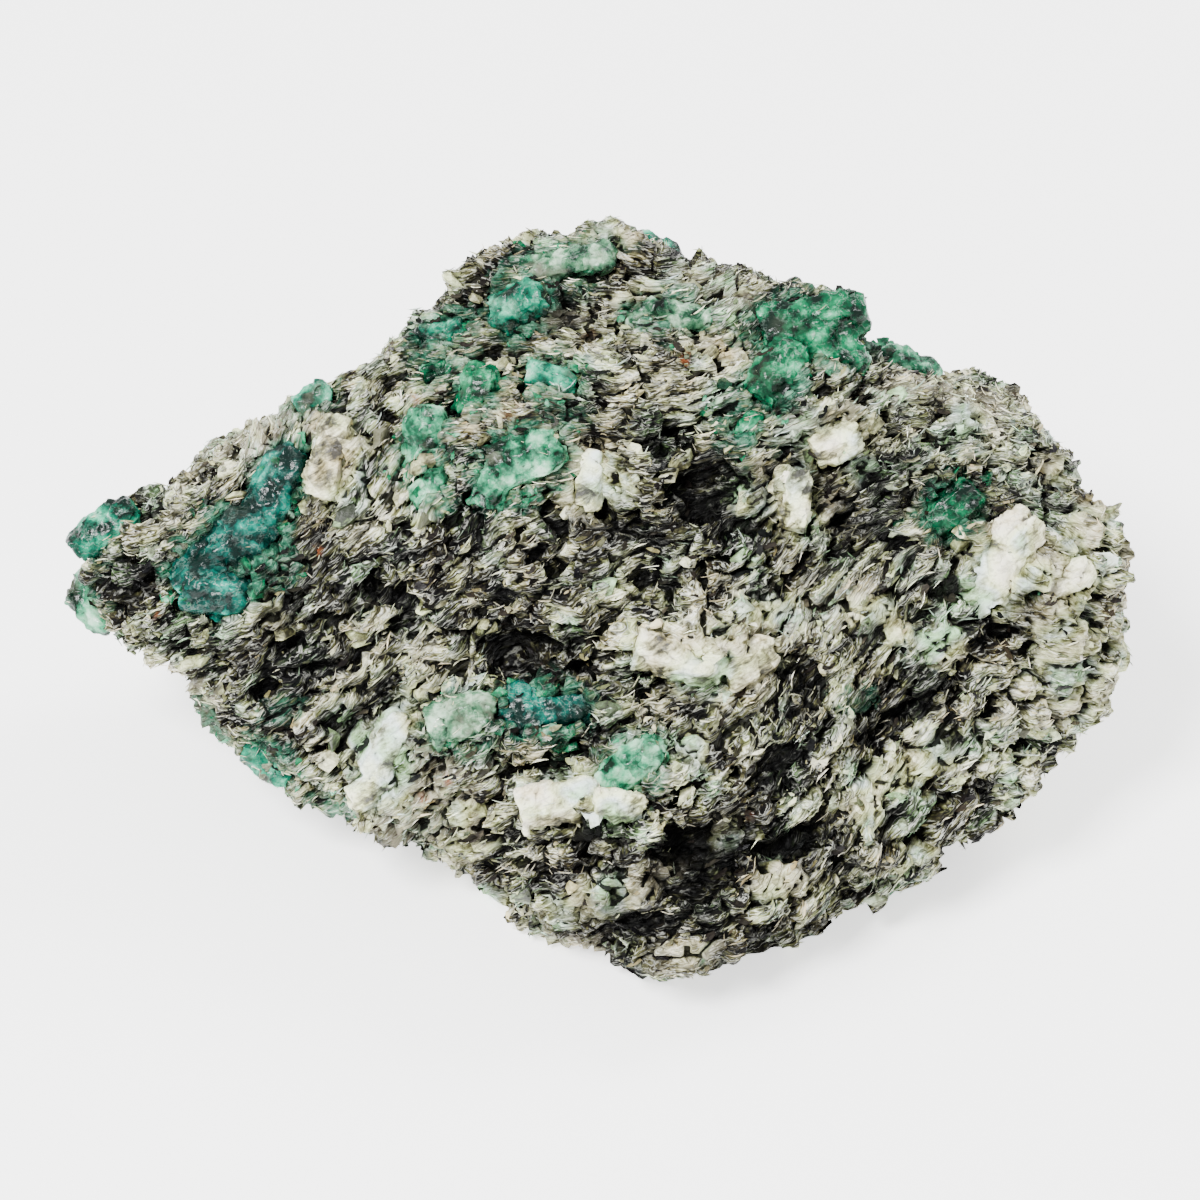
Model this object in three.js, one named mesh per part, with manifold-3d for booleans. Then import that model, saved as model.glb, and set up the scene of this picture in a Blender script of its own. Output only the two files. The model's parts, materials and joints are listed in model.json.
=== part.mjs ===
// Emerald in matrix: a hand specimen of folded mica schist, 80 mm long, with green beryl crystals and white
// feldspar grains set in it. Millimetres, +Z up, X along the specimen, show face towards -Y. The origin is on the
// surface that the specimen rests on, under the middle of its box.

import * as THREE from 'three';
import { ConvexGeometry } from 'three/addons/geometries/ConvexGeometry.js';
import { ImprovedNoise } from 'three/addons/math/ImprovedNoise.js';
import { mergeVertices } from 'three/addons/utils/BufferGeometryUtils.js';
import Module from 'manifold-3d';

const wasm = await Module();
wasm.setup();

// Driving dimensions
const HEART_HEIGHT = 16.5; // the point that the broken faces are measured from, above the base
const FACE_TILT = 40; // degrees that the show face looks up by
const SPHERE_DETAIL = 13; // how finely the stone's starting sphere is divided
const SPREAD = { across: 40, up: 28, out: 13 }; // half lengths of the ellipsoid that spaces the skin's points evenly
const FACE_ROUNDING = 13; // higher is crisper where two broken faces meet
const OUTLINE_CRISPNESS = 30;
const OUTLINE_TAPER = 0.1; // how much the outline draws in away from the stone's middle plane
const RIM_SHEAR = 0.28; // the rim leans: it runs forward below the heart and back above it
const RIM_WIDTH = 0.34; // radians to each side of the rim in which the broken faces give way to the outline
const RIM_MARGIN = 1.12; // how far past the outline they are let out there
const SEAT_GAP = 0.3; // between a crystal and its socket

// Foliation: the schist's layers rise to the right, and roll in open folds
const LAYER_TILT = 23; // degrees
const LAYER_THICKNESS = 4.6;
const LEDGE_DEPTH = 3.6;
const LEDGE_EDGE = 0.62; // share of a layer that is its upright edge; the rest steps back to the next
const EDGE_PULL = 0.62; // how strongly the skin's points gather on the ledges' edges
const FOLD_HEIGHT = 2.2;
const FOLD_LENGTH = 19;
const FOLD_SWING = 31; // the folds' axes swing round over this depth
const FOLD_WANDER = { size: 26, height: 0.8, shift: 3 };
const LAYER_WAVES = { size: 9, height: 0.9, shift: 5 };
const LEDGE_RUN = { across: 15, deep: 22 }; // a ledge changes its depth after this far
const RUN_WANDER = { size: 11, height: 0.6, shift: 9 };

// Roughness of the broken faces
const BLOCK_SIZE = 7;
const BLOCK_RELIEF = 1.6;
const GRAINS = { size: 3.6, height: 0.9, shift: 7 };
const SETTLE = 0.5; // the rough skin's middle lies this far inside the broken faces

const degrees = THREE.MathUtils.degToRad;
const ACROSS = new THREE.Vector3(1, 0, 0);
const UP_FACE = new THREE.Vector3(0, Math.sin(degrees(FACE_TILT)), Math.cos(degrees(FACE_TILT)));
const OUT_OF_FACE = new THREE.Vector3(0, -Math.cos(degrees(FACE_TILT)), Math.sin(degrees(FACE_TILT)));
const HEART = new THREE.Vector3(0, 0, HEART_HEIGHT);
const LAYER_NORMAL = new THREE.Vector3(-Math.sin(degrees(LAYER_TILT)), 0.03, Math.cos(degrees(LAYER_TILT))).normalize();

// The stone's outline seen square to its show face: millimetres across and up from the heart, clockwise
const OUTLINE = [
  [-38.8, 1.5], [-38.2, 3.8], [-36.2, 6.8], [-33.6, 8.9], [-31.8, 12.1], [-27.3, 13.9],
  [-22.9, 15.4], [-19.2, 17.8], [-15.5, 20.2], [-13.1, 22.9], [-9.1, 25.8], [-4.1, 28.0],
  [1.5, 28.5], [5.0, 26.8], [11.5, 24.9], [16.6, 22.9], [19.6, 20.6], [23.0, 18.3],
  [28.7, 16.6], [31.3, 13.0], [34.9, 8.7], [38.7, 4.3], [39.1, 1.9], [37.7, -4.8],
  [35.8, -8.1], [34.0, -11.5], [31.9, -14.4], [28.0, -16.7], [24.9, -19.7], [20.0, -23.1],
  [14.1, -26.3], [5.9, -29.0], [0.8, -28.4], [-0.9, -26.6], [-6.6, -25.2], [-9.4, -21.4],
  [-16.6, -17.5], [-21.1, -15.2], [-27.0, -10.9], [-30.3, -7.9], [-34.0, -4.8], [-38.4, -1.8],
];

// Broken faces: bearing anticlockwise from +X and rise above level, in degrees, and reach from the heart
const BROKEN_FACES = [
  { bearing: -92, rise: 50, reach: 12.2 }, // show face
  { bearing: -70, rise: 84, reach: 16.8 }, // plateau
  { bearing: -170, rise: 55, reach: 19.8 }, // left slope
  { bearing: -20, rise: 40, reach: 27.5 }, // right slope
  { bearing: 116, rise: 9, reach: 22.5 }, // back left wall
  { bearing: 62, rise: 14, reach: 23.5 }, // back right wall
  { bearing: 84, rise: 46, reach: 27.5 }, // back bevel
  { bearing: -130, rise: 15, reach: 15.2 }, // front left wall
  { bearing: -57, rise: 12, reach: 22.6 }, // front right wall
  { bearing: -28, rise: 5, reach: 31.5 }, // right wall
  { bearing: 25, rise: -6, reach: 31 }, // back right corner
  { bearing: 0, rise: -90, reach: 17.4 }, // base
  { bearing: 178, rise: -44, reach: 25.5 }, // left underside
  { bearing: -128, rise: -42, reach: 20.5 }, // front left underside
  { bearing: -50, rise: -48, reach: 25 }, // front right underside
  { bearing: 4, rise: -46, reach: 28 }, // right underside
  { bearing: 96, rise: -38, reach: 21 }, // back underside
];

// Lumps stand proud and pits are cut in: centre across and up from the heart, radius and height.
// side is 1 on the show side and -1 behind.
const SHOW_SIDE = 1;
const BACK_SIDE = -1;
const RELIEF = [
  { across: 7.9, up: 8.1, radius: 4.2, height: -2.6, side: SHOW_SIDE },
  { across: 5.2, up: 12.3, radius: 2.6, height: -1.3, side: SHOW_SIDE },
  { across: 7.8, up: -18.9, radius: 4.4, height: -3.0, side: SHOW_SIDE },
  { across: 10.4, up: -13.2, radius: 4.0, height: -2.2, side: SHOW_SIDE },
  { across: 2.4, up: -24.3, radius: 3.4, height: -1.8, side: SHOW_SIDE },
  { across: 22.2, up: -8.4, radius: 4.2, height: -1.9, side: SHOW_SIDE },
  { across: 15.2, up: -5.6, radius: 2.6, height: -1.4, side: SHOW_SIDE },
  { across: 14.7, up: -17.9, radius: 3.0, height: -1.6, side: SHOW_SIDE },
  { across: 25.6, up: 0.8, radius: 2.2, height: -1.4, side: SHOW_SIDE },
  { across: -6.1, up: -4.4, radius: 4.0, height: -1.8, side: SHOW_SIDE },
  { across: -16.4, up: 0.6, radius: 2.4, height: -1.3, side: SHOW_SIDE },
  { across: -24.2, up: -5.4, radius: 3.0, height: -1.3, side: SHOW_SIDE },
  { across: -2.0, up: -11.6, radius: 2.2, height: -1.5, side: SHOW_SIDE },
  { across: 7.6, up: -4.3, radius: 4.6, height: 1.6, side: SHOW_SIDE },
  { across: -10.0, up: -8.4, radius: 5.4, height: 1.8, side: SHOW_SIDE },
  { across: -16.1, up: -12.2, radius: 4.4, height: 1.5, side: SHOW_SIDE },
  { across: -1.8, up: -14.4, radius: 4.4, height: 1.4, side: SHOW_SIDE },
  { across: 29.6, up: 3.0, radius: 4.2, height: 1.5, side: SHOW_SIDE },
  { across: -6.0, up: 9.8, radius: 5.0, height: 1.5, side: SHOW_SIDE },
  { across: -20.0, up: 10.7, radius: 4.2, height: 1.5, side: SHOW_SIDE },
  { across: 14.7, up: 18.5, radius: 5.2, height: 1.3, side: SHOW_SIDE },
  { across: 25.4, up: -2.7, radius: 3.4, height: 1.2, side: SHOW_SIDE },
  { across: -5.9, up: 22.0, radius: 3.4, height: 1.1, side: SHOW_SIDE },
  { across: 17.3, up: 11.5, radius: 3.6, height: 1.0, side: SHOW_SIDE },
  { across: 20.0, up: -17.6, radius: 3.6, height: 1.2, side: SHOW_SIDE },
  { across: -29.5, up: 5.5, radius: 4.4, height: 1.2, side: SHOW_SIDE },
  { across: -14.0, up: 8.0, radius: 5.5, height: 1.8, side: BACK_SIDE },
  { across: -3.0, up: -2.0, radius: 5.0, height: -2.2, side: BACK_SIDE },
  { across: 10.0, up: 6.0, radius: 6.0, height: 1.8, side: BACK_SIDE },
  { across: 20.0, up: -3.0, radius: 4.6, height: -2.0, side: BACK_SIDE },
  { across: 2.0, up: 15.0, radius: 4.0, height: -1.7, side: BACK_SIDE },
  { across: -22.0, up: -1.0, radius: 4.0, height: -1.6, side: BACK_SIDE },
  { across: 28.0, up: 7.0, radius: 4.4, height: 1.5, side: BACK_SIDE },
];

// Crystals. Each is one solid of one or more grains grown together. A grain's centre is across and up from the
// heart, and lift is how far its middle stands out of the stone's skin there. turn is the angle of its long axis
// in the show plane, anticlockwise from across, and lean tips that axis out of the plane.
const EMERALDS = [
  {
    name: 'emerald_left_tip',
    grains: [{ across: -37.0, up: 5.3, lift: -0.3, length: 5.4, width: 3.6, turn: 44, lean: 4 }],
  },
  {
    name: 'emerald_left_point',
    grains: [
      { across: -38.2, up: -0.7, lift: 0, length: 4.2, width: 2.6, turn: -42, lean: 6 },
      { across: -38.7, up: 1.4, lift: 0.1, length: 3.0, width: 2.2, turn: 70, lean: 0 },
    ],
  },
  {
    name: 'emerald_left_face',
    grains: [
      { across: -27.6, up: 3.4, lift: -1.5, length: 8.6, width: 5.6, turn: 40, lean: 6 },
      { across: -24.0, up: 8.4, lift: -1.3, length: 6.6, width: 4.0, turn: 62, lean: -4 },
      { across: -28.2, up: 0.6, lift: -1.2, length: 5.2, width: 4.2, turn: -12, lean: 5 },
    ],
  },
  {
    name: 'emerald_left_rim',
    grains: [{ across: -21.5, up: 15.3, lift: 0.1, length: 3.2, width: 2.4, turn: 35, lean: 0 }],
  },
  {
    name: 'emerald_knob',
    grains: [
      { across: -5.9, up: 22.0, lift: 0.5, length: 4.4, width: 3.7, turn: 24, lean: 22 },
      { across: -7.1, up: 20.8, lift: -0.1, length: 2.8, width: 2.1, turn: -30, lean: 0 },
    ],
  },
  {
    name: 'emerald_plateau_strip',
    grains: [{ across: -11.8, up: 20.0, lift: -0.5, length: 3.9, width: 2.0, turn: 16, lean: 0 }],
  },
  {
    name: 'emerald_ridge_left',
    grains: [{ across: -9.2, up: 15.6, lift: -0.5, length: 4.0, width: 2.9, turn: 68, lean: 8 }],
  },
  {
    name: 'emerald_ridge_bead',
    grains: [{ across: -12.2, up: 17.2, lift: -0.4, length: 2.4, width: 1.8, turn: 20, lean: 0 }],
  },
  {
    name: 'emerald_ridge_right',
    grains: [{ across: -3.6, up: 16.1, lift: -0.8, length: 4.0, width: 3.2, turn: -8, lean: 6 }],
  },
  {
    name: 'emerald_brow_left',
    grains: [
      { across: -13.0, up: 11.6, lift: -0.9, length: 5.6, width: 3.6, turn: 82, lean: 8 },
      { across: -12.5, up: 8.4, lift: -0.9, length: 3.2, width: 2.6, turn: 40, lean: 0 },
    ],
  },
  {
    name: 'emerald_brow_cluster',
    grains: [
      { across: -5.4, up: 10.4, lift: -0.9, length: 5.4, width: 4.4, turn: 24, lean: 10 },
      { across: -7.8, up: 8.5, lift: -0.6, length: 3.4, width: 3.0, turn: 66, lean: 14 },
    ],
  },
  {
    name: 'emerald_top_tip',
    grains: [
      { across: 4.4, up: 26.6, lift: -0.6, length: 4.0, width: 2.9, turn: -22, lean: 0 },
    ],
  },
  {
    name: 'emerald_plateau_streak',
    grains: [
      { across: -2.4, up: 25.2, lift: -0.4, length: 6.8, width: 2.5, turn: 8, lean: 0 },
      { across: 0.1, up: 25.9, lift: -0.2, length: 2.4, width: 1.8, turn: 50, lean: 0 },
    ],
  },
  {
    name: 'emerald_plateau_wedge',
    grains: [
      { across: 6.4, up: 21.2, lift: -0.5, length: 4.3, width: 2.5, turn: -14, lean: 4 },
      { across: 3.3, up: 21.5, lift: -0.3, length: 3.2, width: 1.9, turn: 22, lean: 0 },
    ],
  },
  {
    name: 'emerald_right_brow',
    grains: [
      { across: 15.9, up: 20.4, lift: -1.0, length: 8.0, width: 5.0, turn: 14, lean: 6 },
      { across: 13.2, up: 16.8, lift: -1.3, length: 5.4, width: 4.2, turn: 58, lean: -6 },
      { across: 17.6, up: 18.2, lift: -1.4, length: 4.6, width: 3.6, turn: -30, lean: 0 },
    ],
  },
  {
    name: 'emerald_right_hollow',
    grains: [{ across: 10.8, up: 12.8, lift: -0.8, length: 3.0, width: 2.1, turn: 60, lean: 0 }],
  },
  {
    name: 'emerald_right_edge',
    grains: [
      { across: 23.4, up: 17.4, lift: -0.4, length: 4.8, width: 3.6, turn: -24, lean: 10 },
      { across: 21.8, up: 18.0, lift: -0.6, length: 4.2, width: 2.2, turn: 100, lean: 0 },
    ],
  },
  {
    name: 'emerald_right_dark',
    grains: [{ across: 25.6, up: 6.7, lift: -1.0, length: 4.8, width: 3.9, turn: 38, lean: 8 }],
  },
  {
    name: 'emerald_low_pale',
    grains: [{ across: 2.4, up: -11.7, lift: -0.3, length: 5.0, width: 3.6, turn: 34, lean: 12 }],
  },
  {
    name: 'emerald_low_teal',
    grains: [
      { across: -3.4, up: -8.3, lift: -1.2, length: 5.6, width: 3.5, turn: 10, lean: 0 },
      { across: -6.0, up: -7.4, lift: -1.2, length: 3.0, width: 2.4, turn: 60, lean: 0 },
    ],
  },
  {
    name: 'emerald_low_dull',
    grains: [{ across: -10.0, up: -8.4, lift: -0.9, length: 5.2, width: 3.6, turn: 20, lean: 0 }],
  },
  {
    name: 'emerald_low_edge',
    grains: [{ across: -24.6, up: -12.0, lift: -0.6, length: 4.4, width: 2.8, turn: -36, lean: 0 }],
  },
  {
    name: 'emerald_back_upper',
    side: BACK_SIDE,
    grains: [
      { across: -12.0, up: 9.0, lift: -1.0, length: 6.4, width: 4.2, turn: 30, lean: 0 },
      { across: -8.4, up: 10.6, lift: -0.8, length: 3.6, width: 2.6, turn: -20, lean: 0 },
    ],
  },
  {
    name: 'emerald_back_middle',
    side: BACK_SIDE,
    grains: [{ across: 9.0, up: 6.0, lift: -0.8, length: 5.2, width: 3.4, turn: 62, lean: 0 }],
  },
  {
    name: 'emerald_back_right',
    side: BACK_SIDE,
    grains: [{ across: 24.0, up: 6.0, lift: -0.7, length: 4.2, width: 3.2, turn: 14, lean: 0 }],
  },
];

const FELDSPARS = [
  {
    name: 'feldspar_white_slab',
    grains: [
      { across: -2.8, up: -14.4, lift: 0.0, length: 6.2, width: 3.6, turn: 14, lean: 0 },
      { across: 1.4, up: -14.5, lift: -0.3, length: 3.6, width: 2.6, turn: -4, lean: 0 },
    ],
  },
  {
    name: 'feldspar_cream_lump',
    grains: [
      { across: 5.6, up: -4.2, lift: -0.5, length: 6.6, width: 3.8, turn: -14, lean: 0 },
      { across: 10.8, up: -4.3, lift: -0.1, length: 4.2, width: 3.4, turn: 26, lean: 0 },
    ],
  },
  {
    name: 'feldspar_brow_block',
    grains: [{ across: -0.8, up: 8.9, lift: -0.1, length: 4.4, width: 2.5, turn: 78, lean: 0 }],
  },
  {
    name: 'feldspar_right_block',
    grains: [
      { across: 29.6, up: 3.4, lift: -0.5, length: 6.8, width: 3.9, turn: 58, lean: 0 },
      { across: 27.9, up: 0.6, lift: -0.7, length: 3.2, width: 2.8, turn: 30, lean: 0 },
    ],
  },
  {
    name: 'feldspar_grey_block',
    grains: [{ across: 14.2, up: 7.4, lift: 0.1, length: 4.6, width: 2.6, turn: 82, lean: 0 }],
  },
  {
    name: 'feldspar_cream_bead',
    grains: [{ across: 17.1, up: 11.5, lift: 0.0, length: 3.9, width: 2.8, turn: 26, lean: 0 }],
  },
  {
    name: 'feldspar_left_column',
    grains: [{ across: -20.0, up: 10.7, lift: -0.4, length: 6.2, width: 3.6, turn: 76, lean: 0 }],
  },
  {
    name: 'feldspar_low_stack',
    grains: [
      { across: -15.6, up: -10.6, lift: -0.5, length: 5.0, width: 3.4, turn: 64, lean: 0 },
      { across: -16.6, up: -13.8, lift: -0.7, length: 3.8, width: 3.0, turn: 30, lean: 0 },
    ],
  },
  {
    name: 'feldspar_right_bead',
    grains: [{ across: 34.0, up: 1.8, lift: -0.5, length: 4.4, width: 3.0, turn: 18, lean: 0 }],
  },
  {
    name: 'feldspar_back_block',
    side: BACK_SIDE,
    grains: [{ across: 0.0, up: 8.0, lift: -0.5, length: 5.4, width: 3.4, turn: -34, lean: 0 }],
  },
  {
    name: 'feldspar_back_bead',
    side: BACK_SIDE,
    grains: [{ across: -20.0, up: 4.0, lift: -0.4, length: 3.8, width: 2.8, turn: 20, lean: 0 }],
  },
];

// A grain's own shape
const PRISM_SIDES = 6;
const BLOCK_SIDES = 5;
const END_TAPER = 0.62; // the bevelled end's width against the grain's
const END_BEVEL = 0.3; // length of the bevel behind it, against the grain's width
const GRAIN_DEPTH = 0.92; // a grain's depth into the stone against its width
const GRAIN_CHIP = 0.13; // how far a corner is knocked off true, against the width

const FAR = 100; // well outside the stone
const FLAT_CUT = { width: 120, height: 20 }; // the box that breaks the base off level

const SCHIST = new THREE.MeshStandardMaterial({ color: '#6f7068', roughness: 0.6 });
const EMERALD = new THREE.MeshStandardMaterial({ color: '#3f8f78', roughness: 0.3 });
const FELDSPAR = new THREE.MeshStandardMaterial({ color: '#dcdcd0', roughness: 0.55 });

const noise = new ImprovedNoise();

/** A repeatable number from 0 to 1 for any three numbers. */
function chance(a, b = 0, c = 0) {
  const wave = Math.sin(a * 127.1 + b * 311.7 + c * 74.7) * 43758.5453;
  return wave - Math.floor(wave);
}

/** Smooth noise whose bumps are about `size` across and `height` high. */
function bumps(point, { size, height, shift }) {
  return height * noise.noise(point.x / size + shift, point.y / size + 1.7 * shift, point.z / size - shift);
}

function directionOf(bearing, rise) {
  const level = Math.cos(degrees(rise));
  return new THREE.Vector3(
    level * Math.cos(degrees(bearing)),
    level * Math.sin(degrees(bearing)),
    Math.sin(degrees(rise)),
  );
}

/** The outline's distance from the heart at an angle round the show plane. */
function outlineReach() {
  const corners = OUTLINE.map(([across, up]) => new THREE.Vector3(across, up, 0));
  const rim = new THREE.CatmullRomCurve3(corners, true, 'centripetal').getPoints(OUTLINE.length * 4);
  const spokes = rim.map((point) => ({ angle: Math.atan2(point.y, point.x), reach: point.length() }));
  spokes.sort((a, b) => a.angle - b.angle);
  return (angle) => {
    const found = spokes.findIndex((spoke) => spoke.angle >= angle);
    const next = spokes[found < 0 ? 0 : found];
    const last = spokes[(found < 0 ? 0 : found) === 0 ? spokes.length - 1 : found - 1];
    const span = THREE.MathUtils.euclideanModulo(next.angle - last.angle, 2 * Math.PI);
    const share = span === 0 ? 0 : THREE.MathUtils.euclideanModulo(angle - last.angle, 2 * Math.PI) / span;
    return THREE.MathUtils.lerp(last.reach, next.reach, share);
  };
}

const rimReach = outlineReach();
const rimUp = UP_FACE.clone().addScaledVector(OUT_OF_FACE, -RIM_SHEAR);
const rimNormal = new THREE.Vector3().crossVectors(ACROSS, rimUp).normalize();
const facePlanes = BROKEN_FACES.map((face) => ({ normal: directionOf(face.bearing, face.rise), reach: face.reach }));

/** How far the broken faces let the stone reach from its heart in one direction. */
function brokenReach(direction) {
  let closeness = 0;
  for (const { normal, reach } of facePlanes) {
    const facing = direction.dot(normal);
    if (facing > 0) closeness += (facing / reach) ** FACE_ROUNDING;
  }
  return closeness ** (-1 / FACE_ROUNDING);
}

/** How much the broken faces are let out near the rim, so that the stone fills its outline. */
function rimRelease(direction, angle) {
  const rim = new THREE.Vector3().addScaledVector(ACROSS, Math.cos(angle)).addScaledVector(rimUp, Math.sin(angle));
  const needed = rimReach(angle) * rim.length();
  const release = Math.max(1, (RIM_MARGIN * needed) / brokenReach(rim.normalize()));
  const nearness = Math.exp(-((Math.asin(direction.dot(rimNormal)) / RIM_WIDTH) ** 2));
  return THREE.MathUtils.lerp(1, release, nearness);
}

/** How far the stone reaches from its heart in one direction, before its skin is roughened. */
function stoneReach(direction) {
  const across = direction.dot(ACROSS);
  const up = direction.dot(UP_FACE);
  const out = Math.abs(direction.dot(OUT_OF_FACE));
  const angle = Math.atan2(up, across);
  const broken = brokenReach(direction) * rimRelease(direction, angle);
  const rim = rimReach(angle) / (Math.hypot(across, up) + OUTLINE_TAPER * out);
  return (broken ** -OUTLINE_CRISPNESS + rim ** -OUTLINE_CRISPNESS) ** (-1 / OUTLINE_CRISPNESS);
}

/** Height of a point above the schist's reference layer, measured through its folds. */
function layerHeight(point) {
  const roll = Math.sin((point.x / FOLD_LENGTH) * Math.PI + point.y / FOLD_SWING + bumps(point, FOLD_WANDER));
  return point.dot(LAYER_NORMAL) + FOLD_HEIGHT * roll + bumps(point, LAYER_WAVES);
}

/** How far a point is moved across the layers to lie nearer the edge of a ledge. */
function edgeShift(point) {
  const height = layerHeight(point) / LAYER_THICKNESS;
  const share = height - Math.floor(height);
  const edge = share < LEDGE_EDGE / 2 ? 0 : share < (1 + LEDGE_EDGE) / 2 ? LEDGE_EDGE : 1;
  return EDGE_PULL * LAYER_THICKNESS * (edge - share);
}

/** How far one layer stands out of the wall, from -0.5 to 0.5, with a step between layers. */
function ledge(point) {
  const height = layerHeight(point) / LAYER_THICKNESS;
  const layer = Math.floor(height);
  const step = THREE.MathUtils.smoothstep(height - layer, LEDGE_EDGE, 1);
  const run = Math.floor(point.x / LEDGE_RUN.across + point.y / LEDGE_RUN.deep + bumps(point, RUN_WANDER));
  return THREE.MathUtils.lerp(chance(layer, run), chance(layer + 1, run), step) - 0.5;
}

/** Blocky break: the stone falls into cells, and each has its own height. */
function blockHeight(point) {
  const cell = point.clone().divideScalar(BLOCK_SIZE);
  let nearest = Infinity;
  let height = 0;
  for (let i = -1; i <= 1; i += 1) {
    for (let j = -1; j <= 1; j += 1) {
      for (let k = -1; k <= 1; k += 1) {
        const [x, y, z] = [Math.floor(cell.x) + i, Math.floor(cell.y) + j, Math.floor(cell.z) + k];
        const seed = new THREE.Vector3(x + chance(x, y, z), y + chance(y, z, x), z + chance(z, x, y));
        const distance = seed.distanceTo(cell);
        if (distance < nearest) {
          nearest = distance;
          height = chance(x + 5, y - 3, z + 1) - 0.5;
        }
      }
    }
  }
  return height;
}

/** The sum of the lumps and pits at a point given by its place in the show plane. */
function reliefHeight(across, up, out) {
  const side = out >= 0 ? SHOW_SIDE : BACK_SIDE;
  let height = 0;
  for (const bump of RELIEF) {
    const distance = Math.hypot(across - bump.across, up - bump.up) / bump.radius;
    if (bump.side === side && distance < 1) height += bump.height * (1 - distance * distance) ** 1.5;
  }
  return height;
}

/** The stone's skin in one direction from its heart. */
function skinPoint(direction) {
  const reach = stoneReach(direction);
  const bare = direction.clone().multiplyScalar(reach);
  const cutAcross = 1 - Math.abs(direction.dot(LAYER_NORMAL)) ** 2;
  bare.addScaledVector(LAYER_NORMAL, cutAcross * edgeShift(bare));
  const relief = reliefHeight(bare.dot(ACROSS), bare.dot(UP_FACE), bare.dot(OUT_OF_FACE));
  const rough = LEDGE_DEPTH * cutAcross * ledge(bare)
    + BLOCK_RELIEF * blockHeight(bare)
    + bumps(bare, GRAINS)
    - SETTLE;
  return bare.addScaledVector(direction, relief + rough).add(HEART);
}

/** A closed geometry with shared vertices and no other attributes. */
function welded(geometry) {
  const bare = geometry.clone();
  bare.deleteAttribute('normal');
  bare.deleteAttribute('uv');
  return mergeVertices(bare, 1e-4);
}

function solidOf(geometry) {
  const closed = welded(geometry);
  const mesh = new wasm.Mesh({
    numProp: 3,
    vertProperties: new Float32Array(closed.attributes.position.array),
    triVerts: new Uint32Array(closed.index.array),
  });
  return new wasm.Manifold(mesh);
}

function geometryOf(solid) {
  const { vertProperties, triVerts } = solid.getMesh();
  const geometry = new THREE.BufferGeometry();
  geometry.setAttribute('position', new THREE.BufferAttribute(vertProperties, 3));
  geometry.setIndex(new THREE.BufferAttribute(triVerts, 1));
  geometry.computeVertexNormals();
  return geometry;
}

/** The schist before its sockets and its base are cut. */
function stoneGeometry() {
  const sphere = welded(new THREE.IcosahedronGeometry(1, SPHERE_DETAIL));
  const positions = sphere.attributes.position;
  const point = new THREE.Vector3();
  const direction = new THREE.Vector3();
  for (let i = 0; i < positions.count; i += 1) {
    point.fromBufferAttribute(positions, i);
    direction.set(0, 0, 0)
      .addScaledVector(ACROSS, SPREAD.across * point.x)
      .addScaledVector(UP_FACE, SPREAD.up * point.y)
      .addScaledVector(OUT_OF_FACE, SPREAD.out * point.z)
      .normalize();
    positions.setXYZ(i, ...skinPoint(direction).toArray());
  }
  return sphere;
}

/**
 * A straight-sided grain along its own X, broken off plain at one end and bevelled at the other.
 * A socket is its plain prism, `gap` larger all round.
 */
function grainGeometry(grain, sides, gap) {
  const half = grain.length / 2 + gap;
  const radius = grain.width / 2;
  const bevelled = [[half - END_BEVEL * grain.width, 1], [half, END_TAPER]];
  const points = [];
  for (const end of [-1, 1]) {
    const rings = gap > 0 || end < 0 ? [[half, 1]] : bevelled;
    for (let side = 0; side < sides; side += 1) {
      const angle = ((side + chance(grain.up) - 0.5) / sides) * 2 * Math.PI;
      const chip = 1 + 2 * GRAIN_CHIP * (chance(grain.across, side, end) - 0.5);
      for (const [along, taper] of rings) {
        const spread = radius * chip * taper + gap;
        points.push(new THREE.Vector3(end * along, spread * Math.cos(angle), GRAIN_DEPTH * spread * Math.sin(angle)));
      }
    }
  }
  return new ConvexGeometry(points);
}

/** Where a line square to the show plane meets the stone, from the front or from behind. */
function seat(stone, across, up, side) {
  const start = HEART.clone()
    .addScaledVector(ACROSS, across)
    .addScaledVector(UP_FACE, up)
    .addScaledVector(OUT_OF_FACE, side * FAR);
  const ray = new THREE.Raycaster(start, OUT_OF_FACE.clone().multiplyScalar(-side));
  const [hit] = ray.intersectObject(stone);
  return hit ? hit.point.dot(OUT_OF_FACE) - HEART.dot(OUT_OF_FACE) : 0;
}

/** Turns a grain to its place on the stone. */
function placement(stone, grain, side) {
  const depth = seat(stone, grain.across, grain.up, side) + side * grain.lift;
  const basis = new THREE.Matrix4().makeBasis(ACROSS, UP_FACE, OUT_OF_FACE);
  const turned = new THREE.Matrix4().makeRotationZ(degrees(grain.turn));
  const leaned = new THREE.Matrix4().makeRotationY(degrees(-grain.lean));
  const centre = HEART.clone()
    .addScaledVector(ACROSS, grain.across)
    .addScaledVector(UP_FACE, grain.up)
    .addScaledVector(OUT_OF_FACE, depth);
  return new THREE.Matrix4().makeTranslation(centre).multiply(basis).multiply(turned).multiply(leaned);
}

/** A crystal's grains joined in one solid, grown outwards by `gap`. */
function crystalSolid(stone, crystal, sides, gap) {
  const solids = crystal.grains.map((grain) => {
    const geometry = grainGeometry(grain, sides, gap);
    return solidOf(geometry.applyMatrix4(placement(stone, grain, crystal.side ?? SHOW_SIDE)));
  });
  return solids.reduce((joined, solid) => joined.add(solid));
}

/** The stone without the crumbs that a cut can leave beside it. */
function largestBody(solid) {
  return solid.decompose().reduce((largest, body) => (body.volume() > largest.volume() ? body : largest));
}

function baseCutter() {
  const box = new THREE.BoxGeometry(FLAT_CUT.width, FLAT_CUT.width, FLAT_CUT.height);
  return solidOf(box.translate(0, 0, -FLAT_CUT.height / 2));
}

function namedMesh(name, solid, material) {
  const mesh = new THREE.Mesh(geometryOf(solid), material);
  mesh.name = name;
  return mesh;
}

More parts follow.
